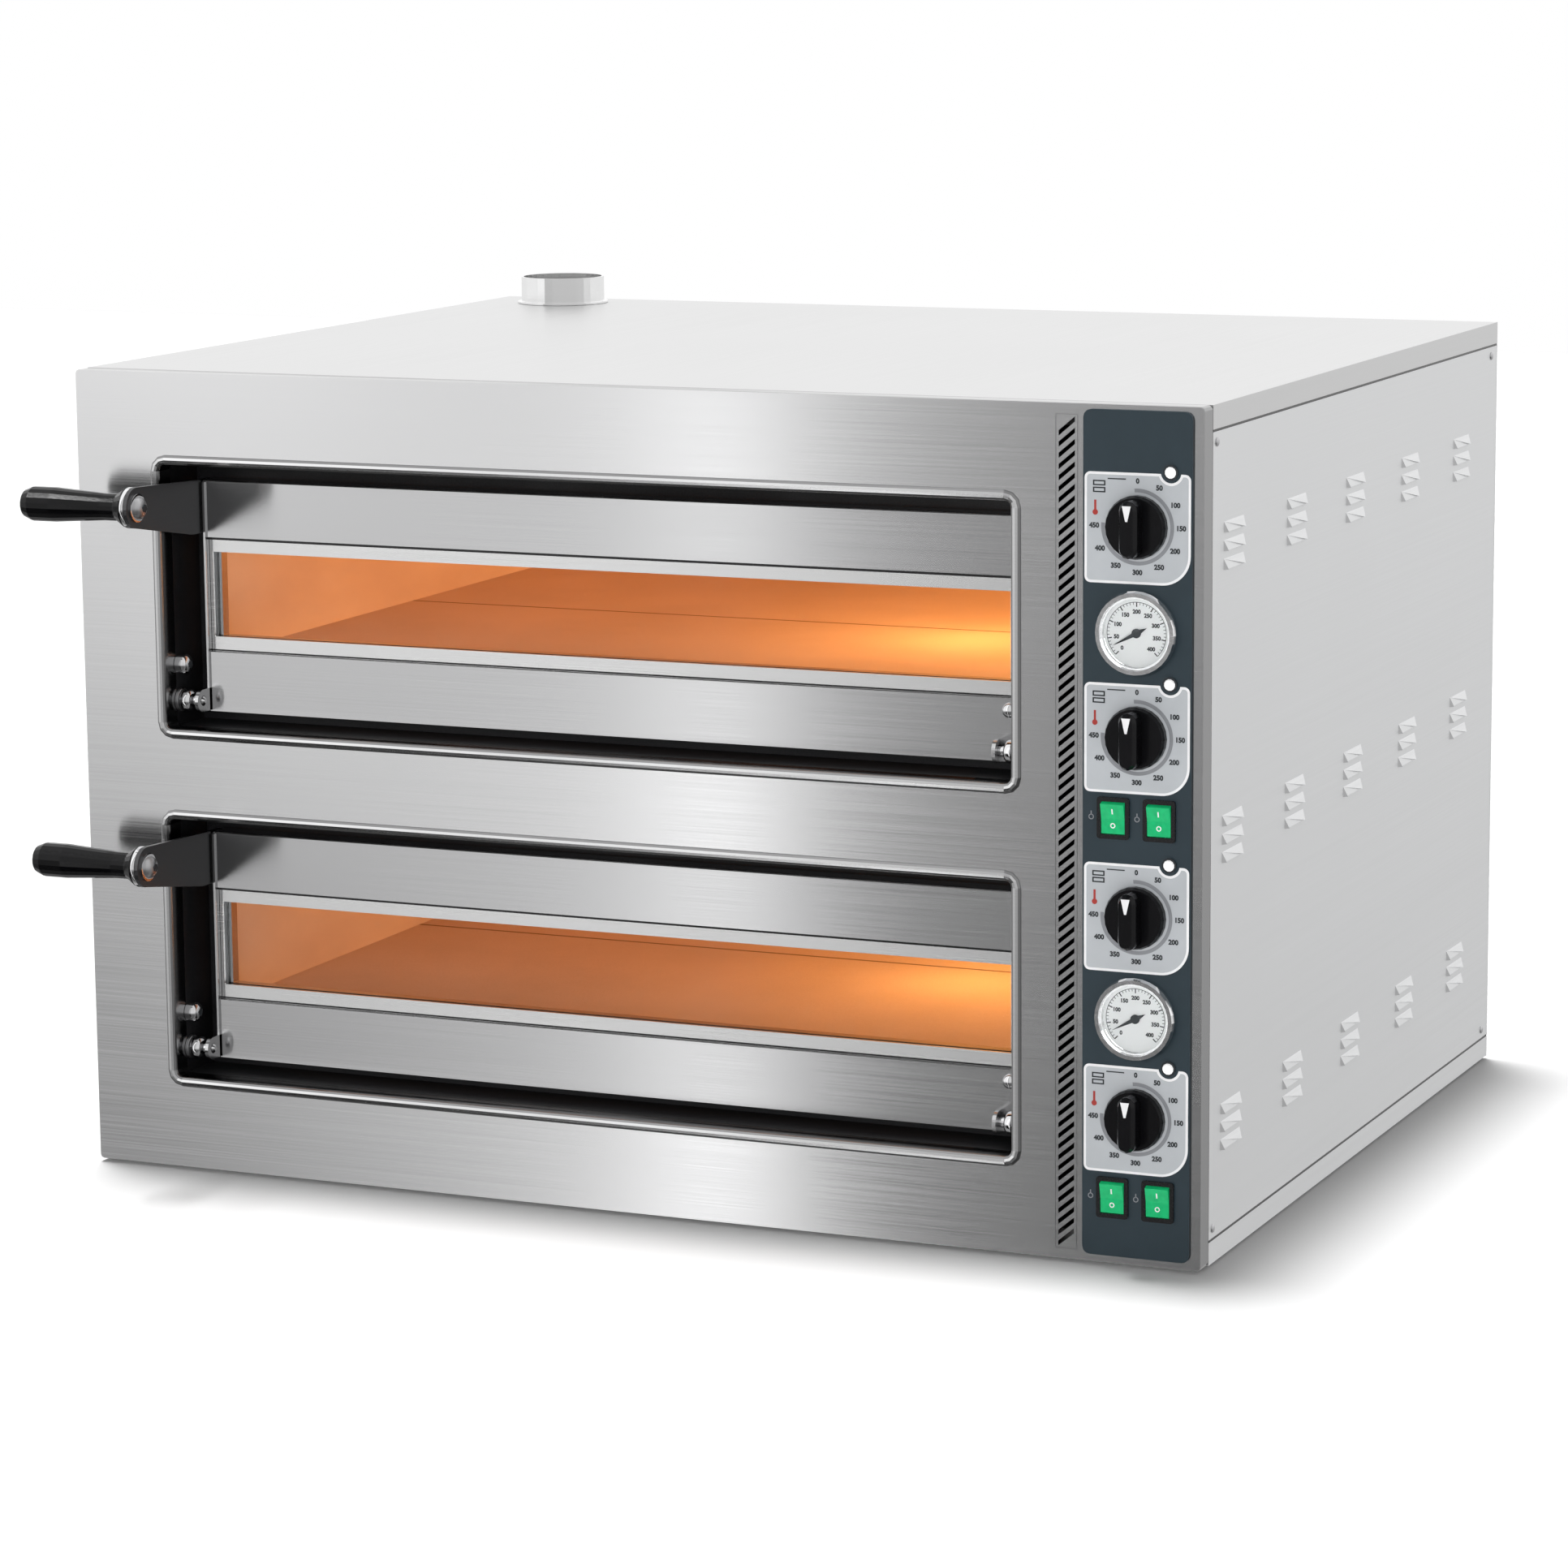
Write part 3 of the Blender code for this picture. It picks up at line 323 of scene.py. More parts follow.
def axes_of(tree, vector=None):
    """A vector, or else the object coordinates, split into X, Y and Z."""
    split = make_node(tree, "SeparateXYZ")
    tree.links.new(vector or object_coordinates(tree), split.inputs["Vector"])
    return split.outputs


def math_node(tree, operation, *values):
    """One operation on numbers and sockets."""
    node = make_node(tree, "Math")
    node.operation = operation
    for entry, value in zip(node.inputs, values):
        if isinstance(value, (int, float)):
            entry.default_value = value
        else:
            tree.links.new(value, entry)
    return node.outputs["Value"]


def noise(tree, vector, scale=1.0, detail=3.0, roughness=0.55):
    """Cloudy value from about 0.3 to 0.7."""
    texture = make_node(tree, "TexNoise", Scale=scale, Detail=detail, Roughness=roughness)
    tree.links.new(vector, texture.inputs["Vector"])
    return texture.outputs["Fac"]


def spread(tree, value, low=0, high=1, from_low=0.3, from_high=0.7):
    """Map a value onto a range."""
    node = make_node(tree, "MapRange", From_Min=from_low, From_Max=from_high, To_Min=low, To_Max=high)
    tree.links.new(value, node.inputs["Value"])
    return node.outputs["Result"]


def blend_colour(tree, factor, first, second):
    """Mix two colours, each a tuple or a socket, by a factor."""
    node = make_node(tree, "Mix")
    node.data_type = "RGBA"
    tree.links.new(factor, node.inputs[0])
    for socket, value in zip([s for s in node.inputs if s.type == "RGBA"], (first, second)):
        if isinstance(value, tuple):
            socket.default_value = (*value, 1.0)
        else:
            tree.links.new(value, socket)
    return next(s for s in node.outputs if s.type == "RGBA")


def emboss(tree, shader, height, strength, distance=0.0002):
    """Relief on a shader's surface from a height."""
    node = make_node(tree, "Bump", Strength=strength, Distance=distance)
    tree.links.new(height, node.inputs["Height"])
    feed(tree, shader, Normal=node.outputs["Normal"])


def scaled(colour, factor):
    """A colour made darker or brighter, up to white."""
    return tuple(min(1.0, channel * factor) for channel in colour)


def painted_bend_shade_mask(tree, axis):
    """0 where a surface faces along an axis, either way, and 1 where it is turned away from it: the mask for
    painted shade on bends.
    """
    surface = make_node(tree, "NewGeometry")
    along = axes_of(tree, surface.outputs["Normal"])[axis]
    return spread(tree, math_node(tree, "ABSOLUTE", along), 0, 1, FACING, TURNED_AWAY)


def brushed_steel(name, colour, roughness, grain, anisotropy=0.0, streak=0.05, clouds=0.04, relief=0.02,
                  rim=1.0, facing="Y"):
    """Brushed sheet: long fine streaks along the grain, broad soft clouds and a faint groove relief.

    Where the sheet turns away from the axis it faces, its colour is scaled by the rim factor: painted shade
    that darkens bends, rim beads and louvres.
    """
    material, tree, shader = start_material(name, colour, roughness, 1.0, Anisotropic=anisotropy,
                                            Anisotropic_Rotation=0.25)
    fine = noise(tree, object_coordinates(tree, grain), 1.0, 4.0, 0.65)
    broad = noise(tree, object_coordinates(tree), 3.0, 2.0)
    streaks = blend_colour(tree, spread(tree, fine), scaled(colour, 1 - streak),
                           scaled(colour, 1 + streak))
    veiled = blend_colour(tree, spread(tree, broad, 0, 0.6), streaks, scaled(colour, 1 - clouds))
    # Painted shade: the colour is darkened by the rim factor where the sheet bends away from the axis it
    # faces.
    if rim != 1.0:
        veiled = blend_colour(tree, painted_bend_shade_mask(tree, facing), veiled, scaled(colour, rim))
    feed(tree, shader, Base_Color=veiled, Roughness=spread(tree, fine, roughness * 0.85, roughness * 1.2))
    if anisotropy:
        tangent = make_node(tree, "Tangent")
        tangent.direction_type = "RADIAL"
        tangent.axis = "Z"
        feed(tree, shader, Tangent=tangent.outputs["Tangent"])
    emboss(tree, shader, fine, relief)
    return material


def moulded(name, colour, roughness, grain=900.0, mottle=0.25, **sockets):
    """Moulded, sprayed or printed surface: slight mottle in colour, fine orange-peel relief."""
    material, tree, shader = start_material(name, colour, roughness, **sockets)
    peel = noise(tree, object_coordinates(tree), grain, 2.0)
    patch = noise(tree, object_coordinates(tree), 35.0, 3.0)
    mottled = blend_colour(tree, spread(tree, patch), scaled(colour, 1 - mottle), colour)
    feed(tree, shader, Base_Color=mottled, Roughness=spread(tree, peel, roughness * 0.85, roughness * 1.2))
    emboss(tree, shader, peel, 0.05)
    return material


def polished(name, colour, roughness):
    """Turned and polished metal with faint handling marks."""
    material, tree, shader = start_material(name, colour, roughness, 1.0)
    marks = noise(tree, object_coordinates(tree), 140.0, 4.0, 0.7)
    worn = blend_colour(tree, spread(tree, marks), scaled(colour, 0.86), colour)
    feed(tree, shader, Base_Color=worn, Roughness=spread(tree, marks, roughness * 0.7, roughness * 1.6))
    return material


def clear_glass(name, tint, haze):
    """Clear glass with faint smears in its gloss."""
    material, tree, shader = start_material(name, tint, haze, Transmission_Weight=1.0, IOR=1.1)
    smears = noise(tree, object_coordinates(tree, (6, 6, 14)), 2.0, 3.0)
    feed(tree, shader, Roughness=spread(tree, smears, 0.0, haze))
    return material


def glowing(name, colour, glow, strength, roughness=0.2):
    """Lit lens: a mottled body with its own light."""
    material, tree, shader = start_material(name, colour, roughness, Emission_Strength=strength)
    patch = spread(tree, noise(tree, object_coordinates(tree), 220.0, 2.0))
    feed(tree, shader, Base_Color=blend_colour(tree, patch, colour, scaled(colour, 0.8)),
         Emission_Color=blend_colour(tree, patch, glow, scaled(glow, 0.85)))
    return material


def pilot_lens():
    """Milky dome in a dark flange, parted by depth."""
    material, tree, shader = start_material("pilot_lens", (0.9, 0.9, 0.9), 0.2, Emission_Strength=0.35)
    edge, soft = FASCIA_FACE - PILOT_FLANGE, PILOT_FLANGE_SOFT
    flange = spread(tree, axes_of(tree)["Y"], 0, 1, edge - soft, edge + soft)
    patch = spread(tree, noise(tree, object_coordinates(tree), 300.0, 2.0))
    milk = blend_colour(tree, patch, (0.95, 0.95, 0.94), (0.85, 0.86, 0.86))
    feed(tree, shader, Base_Color=blend_colour(tree, flange, milk, (0.03, 0.035, 0.04)),
         Emission_Color=blend_colour(tree, flange, (1.0, 1.0, 1.0), (0.0, 0.0, 0.0)))
    return material


def within(tree, value, low, high):
    """1 where a value lies between two bounds, else 0."""
    return math_node(tree, "COMPARE", value, (low + high) / 2, (high - low) / 2)


def chamber_mask(tree, deck):
    """1 on the inner faces of a chamber, which lie round its stone floor, else 0."""
    low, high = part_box(f"{deck}_deck_stone")
    axes = axes_of(tree)
    share = within(tree, axes["X"], low.x - SHEET_SPLIT, high.x + SHEET_SPLIT)
    for axis, bottom, top in (("Y", CHAMBER_MOUTH + CHAMBER_MARGIN, high.y + SHEET_SPLIT),
                              ("Z", low.z, high.z + CHAMBER_HEIGHT + SHEET_SPLIT)):
        share = math_node(tree, "MULTIPLY", share, within(tree, axes[axis], bottom, top))
    return share


def liner_dark_well_and_painted_glow(deck, glow):
    """Near-black in the door well, and heat-toned steel inside the chamber, with a warm glow of painted light
    that grows towards the lamp.
    """
    material, tree, shader = start_material(f"{deck}_liner_dark_well_and_painted_glow", (0.02, 0.02, 0.02), 0.35,
                                            Emission_Strength=glow)
    inside = chamber_mask(tree, deck)
    speckle = noise(tree, object_coordinates(tree), 700.0, 2.0)
    stain = noise(tree, object_coordinates(tree, (4, 4, 9)), 1.5, 4.0)
    # Near-black wherever the liner lies outside the chamber, as in the door well.
    black = blend_colour(tree, spread(tree, speckle), (0.006, 0.006, 0.007), (0.016, 0.016, 0.018))
    steel = blend_colour(tree, spread(tree, stain), (0.54, 0.44, 0.36), (0.68, 0.58, 0.48))
    # Painted light: an orange glow emitted by the chamber's walls, growing towards the lamp.
    warm = blend_colour(tree, spread(tree, stain), (0.88, 0.28, 0.08), (1.0, 0.35, 0.11))
    painted_lamp_light_share = spread(tree, axes_of(tree)["X"], 0, 1, PAINTED_LAMP_LIGHT_START, PAINTED_LAMP_LIGHT_END)
    warm = blend_colour(tree, painted_lamp_light_share, warm, PAINTED_LAMP_LIGHT_COLOUR)
    feed(tree, shader, Base_Color=blend_colour(tree, inside, black, steel),
         Emission_Color=blend_colour(tree, inside, (0.0, 0.0, 0.0), warm),
         Roughness=spread(tree, stain, 0.4, 0.65))
    emboss(tree, shader, speckle, 0.05)
    return material


def fire_stone():
    """Fired stone: sandy speckle, scorched patches and the joint between the front and rear stones, with a
    faint orange glow of painted light.
    """
    # Painted light: a faint orange emission that warms the stone.
    material, tree, shader = start_material("fire_stone", (0.55, 0.45, 0.34), 0.9, Emission_Strength=0.05,
                                            Emission_Color=(1.0, 0.30, 0.08, 1.0))
    sand = noise(tree, object_coordinates(tree), 900.0, 3.0, 0.7)
    scorch = noise(tree, object_coordinates(tree), 5.0, 5.0, 0.6)
    grains = blend_colour(tree, spread(tree, sand), (0.50, 0.37, 0.27), (0.68, 0.52, 0.39))
    toasted = blend_colour(tree, spread(tree, scorch, 0, 0.45), grains, (0.38, 0.28, 0.20))
    low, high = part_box("lower_deck_stone")
    middle = (low.y + high.y) / 2
    joint = within(tree, axes_of(tree)["Y"], middle - STONE_JOINT / 2, middle + STONE_JOINT / 2)
    feed(tree, shader, Base_Color=blend_colour(tree, joint, toasted, (0.16, 0.11, 0.08)))
    emboss(tree, shader, sand, 0.4, 0.0006)
    return material


LEVEL_GRAIN = (3.0, 3.0, 900.0)
DEEP_GRAIN = (700.0, 3.0, 700.0)
ROUND_GRAIN = (260.0, 260.0, 260.0)
finish = {
    # The front's rim factor of 0.42 and the side's 0.90 are painted shade on rim beads, bends and louvres.
    "front": brushed_steel("front_brushed_steel", (0.72, 0.72, 0.725), 0.16, LEVEL_GRAIN, 0.9, rim=0.42),
    # The door's steel is the front's steel made darker: painted shade of the recess the doors sit in.
    "door": brushed_steel("door_steel_painted_shade", (0.59, 0.59, 0.595), 0.16, LEVEL_GRAIN, 0.9),
    "side": brushed_steel("side_satin_steel", (0.82, 0.825, 0.83), 0.50, LEVEL_GRAIN, 0.0, 0.03, 0.03, 0.03,
                          0.90, "X"),
    "top": brushed_steel("top_satin_steel", (0.67, 0.67, 0.67), 0.34, DEEP_GRAIN, 0.0, 0.025, 0.03, 0.03),
    "strip": brushed_steel("strip_bright_steel", (0.82, 0.82, 0.82), 0.24, LEVEL_GRAIN, 0.6, 0.03, 0.02),
    "flue": brushed_steel("flue_steel", (0.90, 0.90, 0.90), 0.22, LEVEL_GRAIN, 0.0, 0.03, 0.02),
    "bracket": brushed_steel("bracket_dark_steel", (0.115, 0.115, 0.118), 0.36, DEEP_GRAIN, 0.0, 0.10, 0.12),
    "chrome": polished("bright_chrome", (0.88, 0.88, 0.89), 0.08),
    "screw": polished("screw_steel", (0.58, 0.58, 0.59), 0.34),
    # Emission strengths of the painted glow in each chamber.
    "lower liner": liner_dark_well_and_painted_glow("lower", 0.20),
    "upper liner": liner_dark_well_and_painted_glow("upper", 0.29),
    "stone": fire_stone(),
    "heater": brushed_steel("heater_sheath", (0.20, 0.17, 0.15), 0.5, ROUND_GRAIN, 0.0, 0.2, 0.2),
    "fascia": moulded("fascia_enamel", (0.022, 0.039, 0.051), 0.42, 1400.0, 0.12),
    "grip": moulded("grip_moulding", (0.002, 0.002, 0.0025), 0.10, 500.0, 0.3, Specular_IOR_Level=0.2),
    "plastic": moulded("black_moulding", (0.006, 0.006, 0.007), 0.24, 700.0, 0.3),
    "knob": moulded("black_knob", (0.004, 0.004, 0.005), 0.20, 900.0, 0.3, Specular_IOR_Level=0.2),
    "body": moulded("grey_moulding", (0.30, 0.31, 0.32), 0.5),
    "plate": moulded("dial_plate_film", (0.52, 0.545, 0.57), 0.38, 1600.0, 0.05),
    "white": moulded("white_print", (0.92, 0.92, 0.93), 0.4, 1600.0, 0.04),
    "ink": moulded("dark_print", (0.03, 0.035, 0.04), 0.5, 1600.0, 0.3),
    "grey": moulded("grey_print", (0.28, 0.29, 0.31), 0.45, 1600.0, 0.15),
    "red": moulded("red_print", (0.45, 0.04, 0.03), 0.45, 1600.0, 0.15),
    "dial": moulded("dial_card", (0.88, 0.89, 0.89), 0.5, 1200.0, 0.03),
    "green": glowing("green_lens", (0.005, 0.36, 0.13), (0.005, 0.60, 0.19), 0.30),
    "pilot": pilot_lens(),
    "lamp": glowing("lamp_glass", (1.0, 0.85, 0.6), (1.0, 0.62, 0.24), 4.0),
    "glass": clear_glass("door_glass", (0.97, 0.98, 0.98), 0.03),
    "lens": clear_glass("gauge_lens", (0.98, 0.99, 0.99), 0.02),
}

NODE_FINISH = {
    "base_tray": "side", "front_panel": "front", "vent_grille": "front", "left_side_panel": "side",
    "right_side_panel": "side", "rear_panel": "side", "top_cover": "top", "flue_collar": "flue",
    "control_fascia": "fascia", "cable_gland": "plastic",
}
ENDING_FINISH = {
    "lower_chamber_liner": "lower liner", "upper_chamber_liner": "upper liner", "deck_stone": "stone",
    "floor_heater": "heater", "roof_heater": "heater",
    "chamber_lamp": "lamp", "hinge_pin": "chrome", "thermometer_case": "chrome", "thermometer_lens": "lens",
    "thermometer_needle": "ink", "door_frame": "door", "door_glass": "glass", "glazing_frame": "strip",
    "handle_bracket": "bracket", "handle_grip": "grip",
}
BEGINNING_FINISH = {
    "thermostat_knob": "knob", "thermostat_": "body", "pilot_lamp": "pilot", "switch_housing": "plastic",
    "switch_rocker": "green",
}


def dress_nodes():
    """Give every CAD node its finish, by its name."""
    for name, node in nodes.items():
        kind = NODE_FINISH.get(name)
        kind = kind or next((f for end, f in ENDING_FINISH.items() if name.endswith(end)), None)
        kind = kind or next(f for start, f in BEGINNING_FINISH.items() if name.startswith(start))
        node.data.materials.clear()
        node.data.materials.append(finish[kind])


# Surfaces worked out as whole arrays

def add_object(name, data):
    """A new object in the scene."""
    made = bpy.data.objects.new(name, data)
    bpy.context.scene.collection.objects.link(made)
    return made


def add_piece(name, surface, kind, body):
    """Put a surface's points and faces into a mesh that rides on a body."""
    points, faces = surface
    mesh = bpy.data.meshes.new(name)
    mesh.from_pydata(np.asarray(points, float).tolist(), [], faces)
    mesh.validate()
    mesh.materials.append(finish[kind])
    piece = add_object(name, mesh)
    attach(piece, body)
    return piece


def smooth(piece, degrees=40):
    """Shade a piece smooth, but for edges sharper than an angle."""
    piece.data.shade_smooth()
    piece.data.set_sharp_from_angle(angle=math.radians(degrees))


def band(count, first, second, closed=True):
    """Quads between two rows of as many points, given the rows' first indices."""
    k = np.arange(count if closed else count - 1)
    n = (k + 1) % count
    return np.stack([first + k, first + n, second + n, second + k], 1).tolist()


def turned(profile, base, axis, sides=32):
    """Surface of revolution: point(u, v) = base + axis h(v) + r(v) (across cos u + beside sin u).

    The profile's (r, h) rows run from the foot to the crown, and a flat cap closes each end.
    """
    along = np.array(axis, float)
    across = np.array(Vector(axis).orthogonal().normalized())
    beside = np.cross(along, across)
    u = np.linspace(0, 2 * np.pi, sides, endpoint=False)
    rows = np.array(profile, float)
    ring = np.outer(np.cos(u), across) + np.outer(np.sin(u), beside)
    points = np.array(base) + rows[:, None, 1:] * along + rows[:, None, :1] * ring
    faces = []
    for row in range(len(rows) - 1):
        faces += band(sides, row * sides, (row + 1) * sides)
    last = (len(rows) - 1) * sides
    faces.append(list(range(sides))[::-1])
    faces.append(list(range(last, last + sides)))
    return points.reshape(-1, 3), faces


def on_face(outline, face, depth):
    """An outline in X and Z set a depth in front of a face, which may be a number or one per point."""
    flat = np.asarray(outline, float)
    return np.column_stack([flat[:, 0], np.broadcast_to(face, len(flat)) - depth, flat[:, 1]])


def ring_of_rows(rows, closed=True):
    """Skin through rows of as many points, the last joined to the first, with end caps on open rows.

    With outlines that run anticlockwise as seen from the front, the outer rows come rear first.
    """
    count = len(rows[0])
    starts = np.arange(len(rows)) * count
    faces = []
    for first, second in zip(starts, np.roll(starts, -1)):
        faces += band(count, first, second, closed)
    if not closed:
        faces += [starts[::-1].tolist(), (starts + count - 1).tolist()]
    return np.concatenate(rows), faces


def film(outline, face, lift, thickness):
    """Flat printed shape: outline(t) in X and Z, from lift to lift + thickness off a face."""
    count = len(outline)
    points = np.concatenate([on_face(outline, face, lift), on_face(outline, face, lift + thickness)])
    faces = band(count, 0, count)
    faces.append(list(range(count, 2 * count)))
    faces.append(list(range(count))[::-1])
    return points, faces


def frame_film(outer, inner, face, lift, thickness, closed=True):
    """Flat printed band between two outlines of as many points, lifted off a face."""
    high = lift + thickness
    loops = ((outer, lift), (outer, high), (inner, high), (inner, lift))
    return ring_of_rows([on_face(outline, face, depth) for outline, depth in loops], closed)


def merged(surfaces):
    """Several surfaces as one."""
    points, faces, start = [], [], 0
    for some_points, some_faces in surfaces:
        points.append(some_points)
        faces += [[index + start for index in face] for face in some_faces]
        start += len(some_points)
    return np.concatenate(points), faces


def arc(centre, radius, start, stop, steps):
    """Points along a circle: centre + radius (cos a, sin a), with a in degrees."""
    a = np.radians(np.linspace(start, stop, steps))
    return np.column_stack([centre[0] + radius * np.cos(a), centre[1] + radius * np.sin(a)])


def arc_film(centre, outer, inner, start, stop, face, lift):
    """Printed band along part of a circle, anticlockwise from start to stop in degrees."""
    edges = [arc(centre, radius, start, stop, 60) for radius in (outer, inner)]
    return frame_film(*edges, face, lift, INK, False)


def ring_film(centre, outer, inner, face, lift, thickness):
    """Printed full ring between two circles."""
    edges = [arc(centre, radius, 0, 345, 24) for radius in (outer, inner)]
    return frame_film(*edges, face, lift, thickness)


def bar(x, z, width, height, tilt=0.0):
    """Corners of a small rectangle about its centre, turned by a tilt in degrees."""
    corners = np.array([(1, 1), (-1, 1), (-1, -1), (1, -1)]) * (width / 2, height / 2)
    a = math.radians(tilt)
    turn = np.array([(math.cos(a), math.sin(a)), (-math.sin(a), math.cos(a))])
    return corners @ turn + (x, z)


def polar(centre, radius, degrees):
    """The point centre + radius (cos a, sin a), with a in degrees."""
    return arc(centre, radius, degrees, degrees, 1)[0]


def number_print(text, place, height, face, lift):
    """A number printed on a face that looks along -Y: bold glyph outlines about a centre."""
    curve = bpy.data.curves.new("number", "FONT")
    curve.body = text
    curve.size = height * TYPE_SIZE
    curve.offset = height * TYPE_BOLD
    curve.align_x = curve.align_y = "CENTER"
    curve.resolution_u = 3
    holder = bpy.data.objects.new("number", curve)
    mesh = bpy.data.meshes.new_from_object(holder)
    flat = np.zeros(len(mesh.vertices) * 3)
    mesh.vertices.foreach_get("co", flat)
    faces = [list(polygon.vertices) for polygon in mesh.polygons]
    bpy.data.objects.remove(holder)
    bpy.data.curves.remove(curve)
    bpy.data.meshes.remove(mesh)
    return on_face(flat.reshape(-1, 3)[:, :2] + place, face, lift), faces


# Dial plates, knob marks, thermometer dials and switch marks

def plate_outline(x, z, notch, inset):
    """Dial plate outline: round corners, a wide sweep at the lower right and a bite round the pilot lamp."""
    x0, x1 = x - PLATE_HALF_WIDTH + inset, x + PLATE_HALF_WIDTH - inset
    z0, z1 = z - PLATE_DOWN + inset, z + PLATE_UP - inset
    small, sweep = PLATE_CORNER - inset, PLATE_SWEEP - inset
    bite = NOTCH_RADIUS + inset
    dip = math.degrees(math.asin((notch[1] - z1) / bite))
    return np.concatenate([
        arc((x1 - small, z1 - small), small, 0, 90, 6),
        arc(notch, bite, 360 - dip, 180 + dip, 16),
        arc((x0 + small, z1 - small), small, 90, 180, 6),
        arc((x0 + small, z0 + small), small, 180, 270, 6),
        arc((x1 - sweep, z0 + sweep), sweep, 270, 360, 14)])


def dial_plate(number):
    """Printed plate behind a thermostat knob: white border, grey field, sweep band, numbers and symbols."""
    x, _, z = joints[f"knob_{number}_turn"]["pos_m"]
    low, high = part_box(f"pilot_lamp_{number}")
    notch = ((low.x + high.x) / 2, (low.z + high.z) / 2)
    edge = plate_outline(x, z, notch, 0)
    field = plate_outline(x, z, notch, PLATE_BORDER)
    border = frame_film(edge, field, FASCIA_FACE, FILM_LIFT, FILM + BORDER_PROUD)
    add_piece(f"dial_plate_border_{number}", border, "white", "casing")
    plate = film(field, FASCIA_FACE, FILM_LIFT, FILM)
    add_piece(f"dial_plate_{number}", plate, "plate", "casing")
    sweep = arc_film((x, z), SWEEP_OUTER, SWEEP_INNER, SWEEP_START, SWEEP_STOP, FASCIA_FACE, INK_LIFT)
    add_piece(f"dial_sweep_{number}", sweep, "grey", "casing")
    prints = [number_print(str(k * TEMPERATURE_STEP), polar((x, z), NUMBER_RADIUS, 90 - NUMBER_STEP * k),
                           NUMBER_HEIGHT, FASCIA_FACE, INK_LIFT + INK) for k in range(NUMBER_COUNT)]
    rule = bar(x + RULE_PLACE[0], z + RULE_PLACE[1], *RULE_SIZE)
    prints.append(film(rule, FASCIA_FACE, INK_LIFT, INK))
    for across, up in SHELF_PLACES:
        edges = [bar(x + across, z + up, *size) for size in (SHELF_OUTER, SHELF_INNER)]
        prints.append(frame_film(*edges, FASCIA_FACE, INK_LIFT, INK))
    add_piece(f"dial_print_{number}", merged(prints), "ink", "casing")
    stem = bar(x + HEAT_STEM_PLACE[0], z + HEAT_STEM_PLACE[1], *HEAT_STEM_SIZE)
    bulb = arc((x + HEAT_BULB_PLACE[0], z + HEAT_BULB_PLACE[1]), HEAT_BULB_RADIUS, 0, 342, 19)
    heat_mark = merged([film(stem, FASCIA_FACE, INK_LIFT, INK),
                        film(bulb, FASCIA_FACE, INK_LIFT + HEAT_BULB_PROUD, INK)])
    add_piece(f"dial_heat_mark_{number}", heat_mark, "red", "casing")


def knob_index(number):
    """White pointer on the crest of a knob's grip bar: a wedge that widens towards the rim."""
    x, _, z = joints[f"knob_{number}_turn"]["pos_m"]
    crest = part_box(f"thermostat_knob_{number}")[0].y
    wedge = [(x + INDEX_TIP_HALF, z + INDEX_TIP), (x - INDEX_TIP_HALF, z + INDEX_TIP),
             (x - INDEX_ROOT_HALF, z + INDEX_ROOT), (x + INDEX_ROOT_HALF, z + INDEX_ROOT)]
    index = film(wedge, crest, -INDEX_SUNK, INDEX_THICKNESS)
    add_piece(f"knob_index_{number}", index, "white", f"knob_{number}")


def thermometer_dial(deck):
    """Dial card with scale ticks and numbers under the needle."""
    x, pivot, z = joints[f"{deck}_needle_turn"]["pos_m"]
    face = pivot + CARD_BEHIND_PIVOT
    card = film(arc((x, z), CARD_RADIUS, 0, 354, 60), face, CARD_LIFT, FILM)
    add_piece(f"{deck}_dial_card", card, "dial", "casing")
    prints = []
    step = SCALE_SWEEP / SCALE_TICKS
    for k in range(SCALE_TICKS + 1):
        a = SCALE_START - step * k
        length, width = SHORT_TICK if k % LONG_TICK_EVERY else LONG_TICK
        tick = bar(*polar((x, z), SCALE_RADIUS - length / 2, a), length, width, a)
        prints.append(film(tick, face, SCALE_LIFT, INK))
    for k in range(SCALE_TICKS // LONG_TICK_EVERY + 1):
        place = polar((x, z), SCALE_NUMBER_RADIUS, SCALE_START - step * LONG_TICK_EVERY * k)
        label = str(k * TEMPERATURE_STEP)
        prints.append(number_print(label, place, SCALE_NUMBER_HEIGHT, face, SCALE_LIFT + INK))
    prints.append(arc_film((x, z), SCALE_RADIUS + SCALE_LINE, SCALE_RADIUS, SCALE_START - SCALE_SWEEP,
                           SCALE_START, face, SCALE_LIFT))
    add_piece(f"{deck}_dial_scale", merged(prints), "ink", "casing")


def rocker_face(number, z):
    """Depth of a rocker's front at a height, along the straight lines between its two tips and its saddle."""
    mesh = nodes[f"switch_rocker_{number}"].data
    points = np.zeros(len(mesh.vertices) * 3)
    mesh.vertices.foreach_get("co", points)
    points = points.reshape(-1, 3)
    centre = joints[f"rocker_{number}_tilt"]["pos_m"][2]
    up = points[:, 2] - centre
    halves = [points[up > ROCKER_TIP_FROM], points[up < -ROCKER_TIP_FROM]]
    top, foot = (half[half[:, 1].argmin()] for half in halves)
    saddle = points[np.abs(up).argmin()]
    return np.interp(z, [foot[2], saddle[2], top[2]], [foot[1], saddle[1], top[1]])


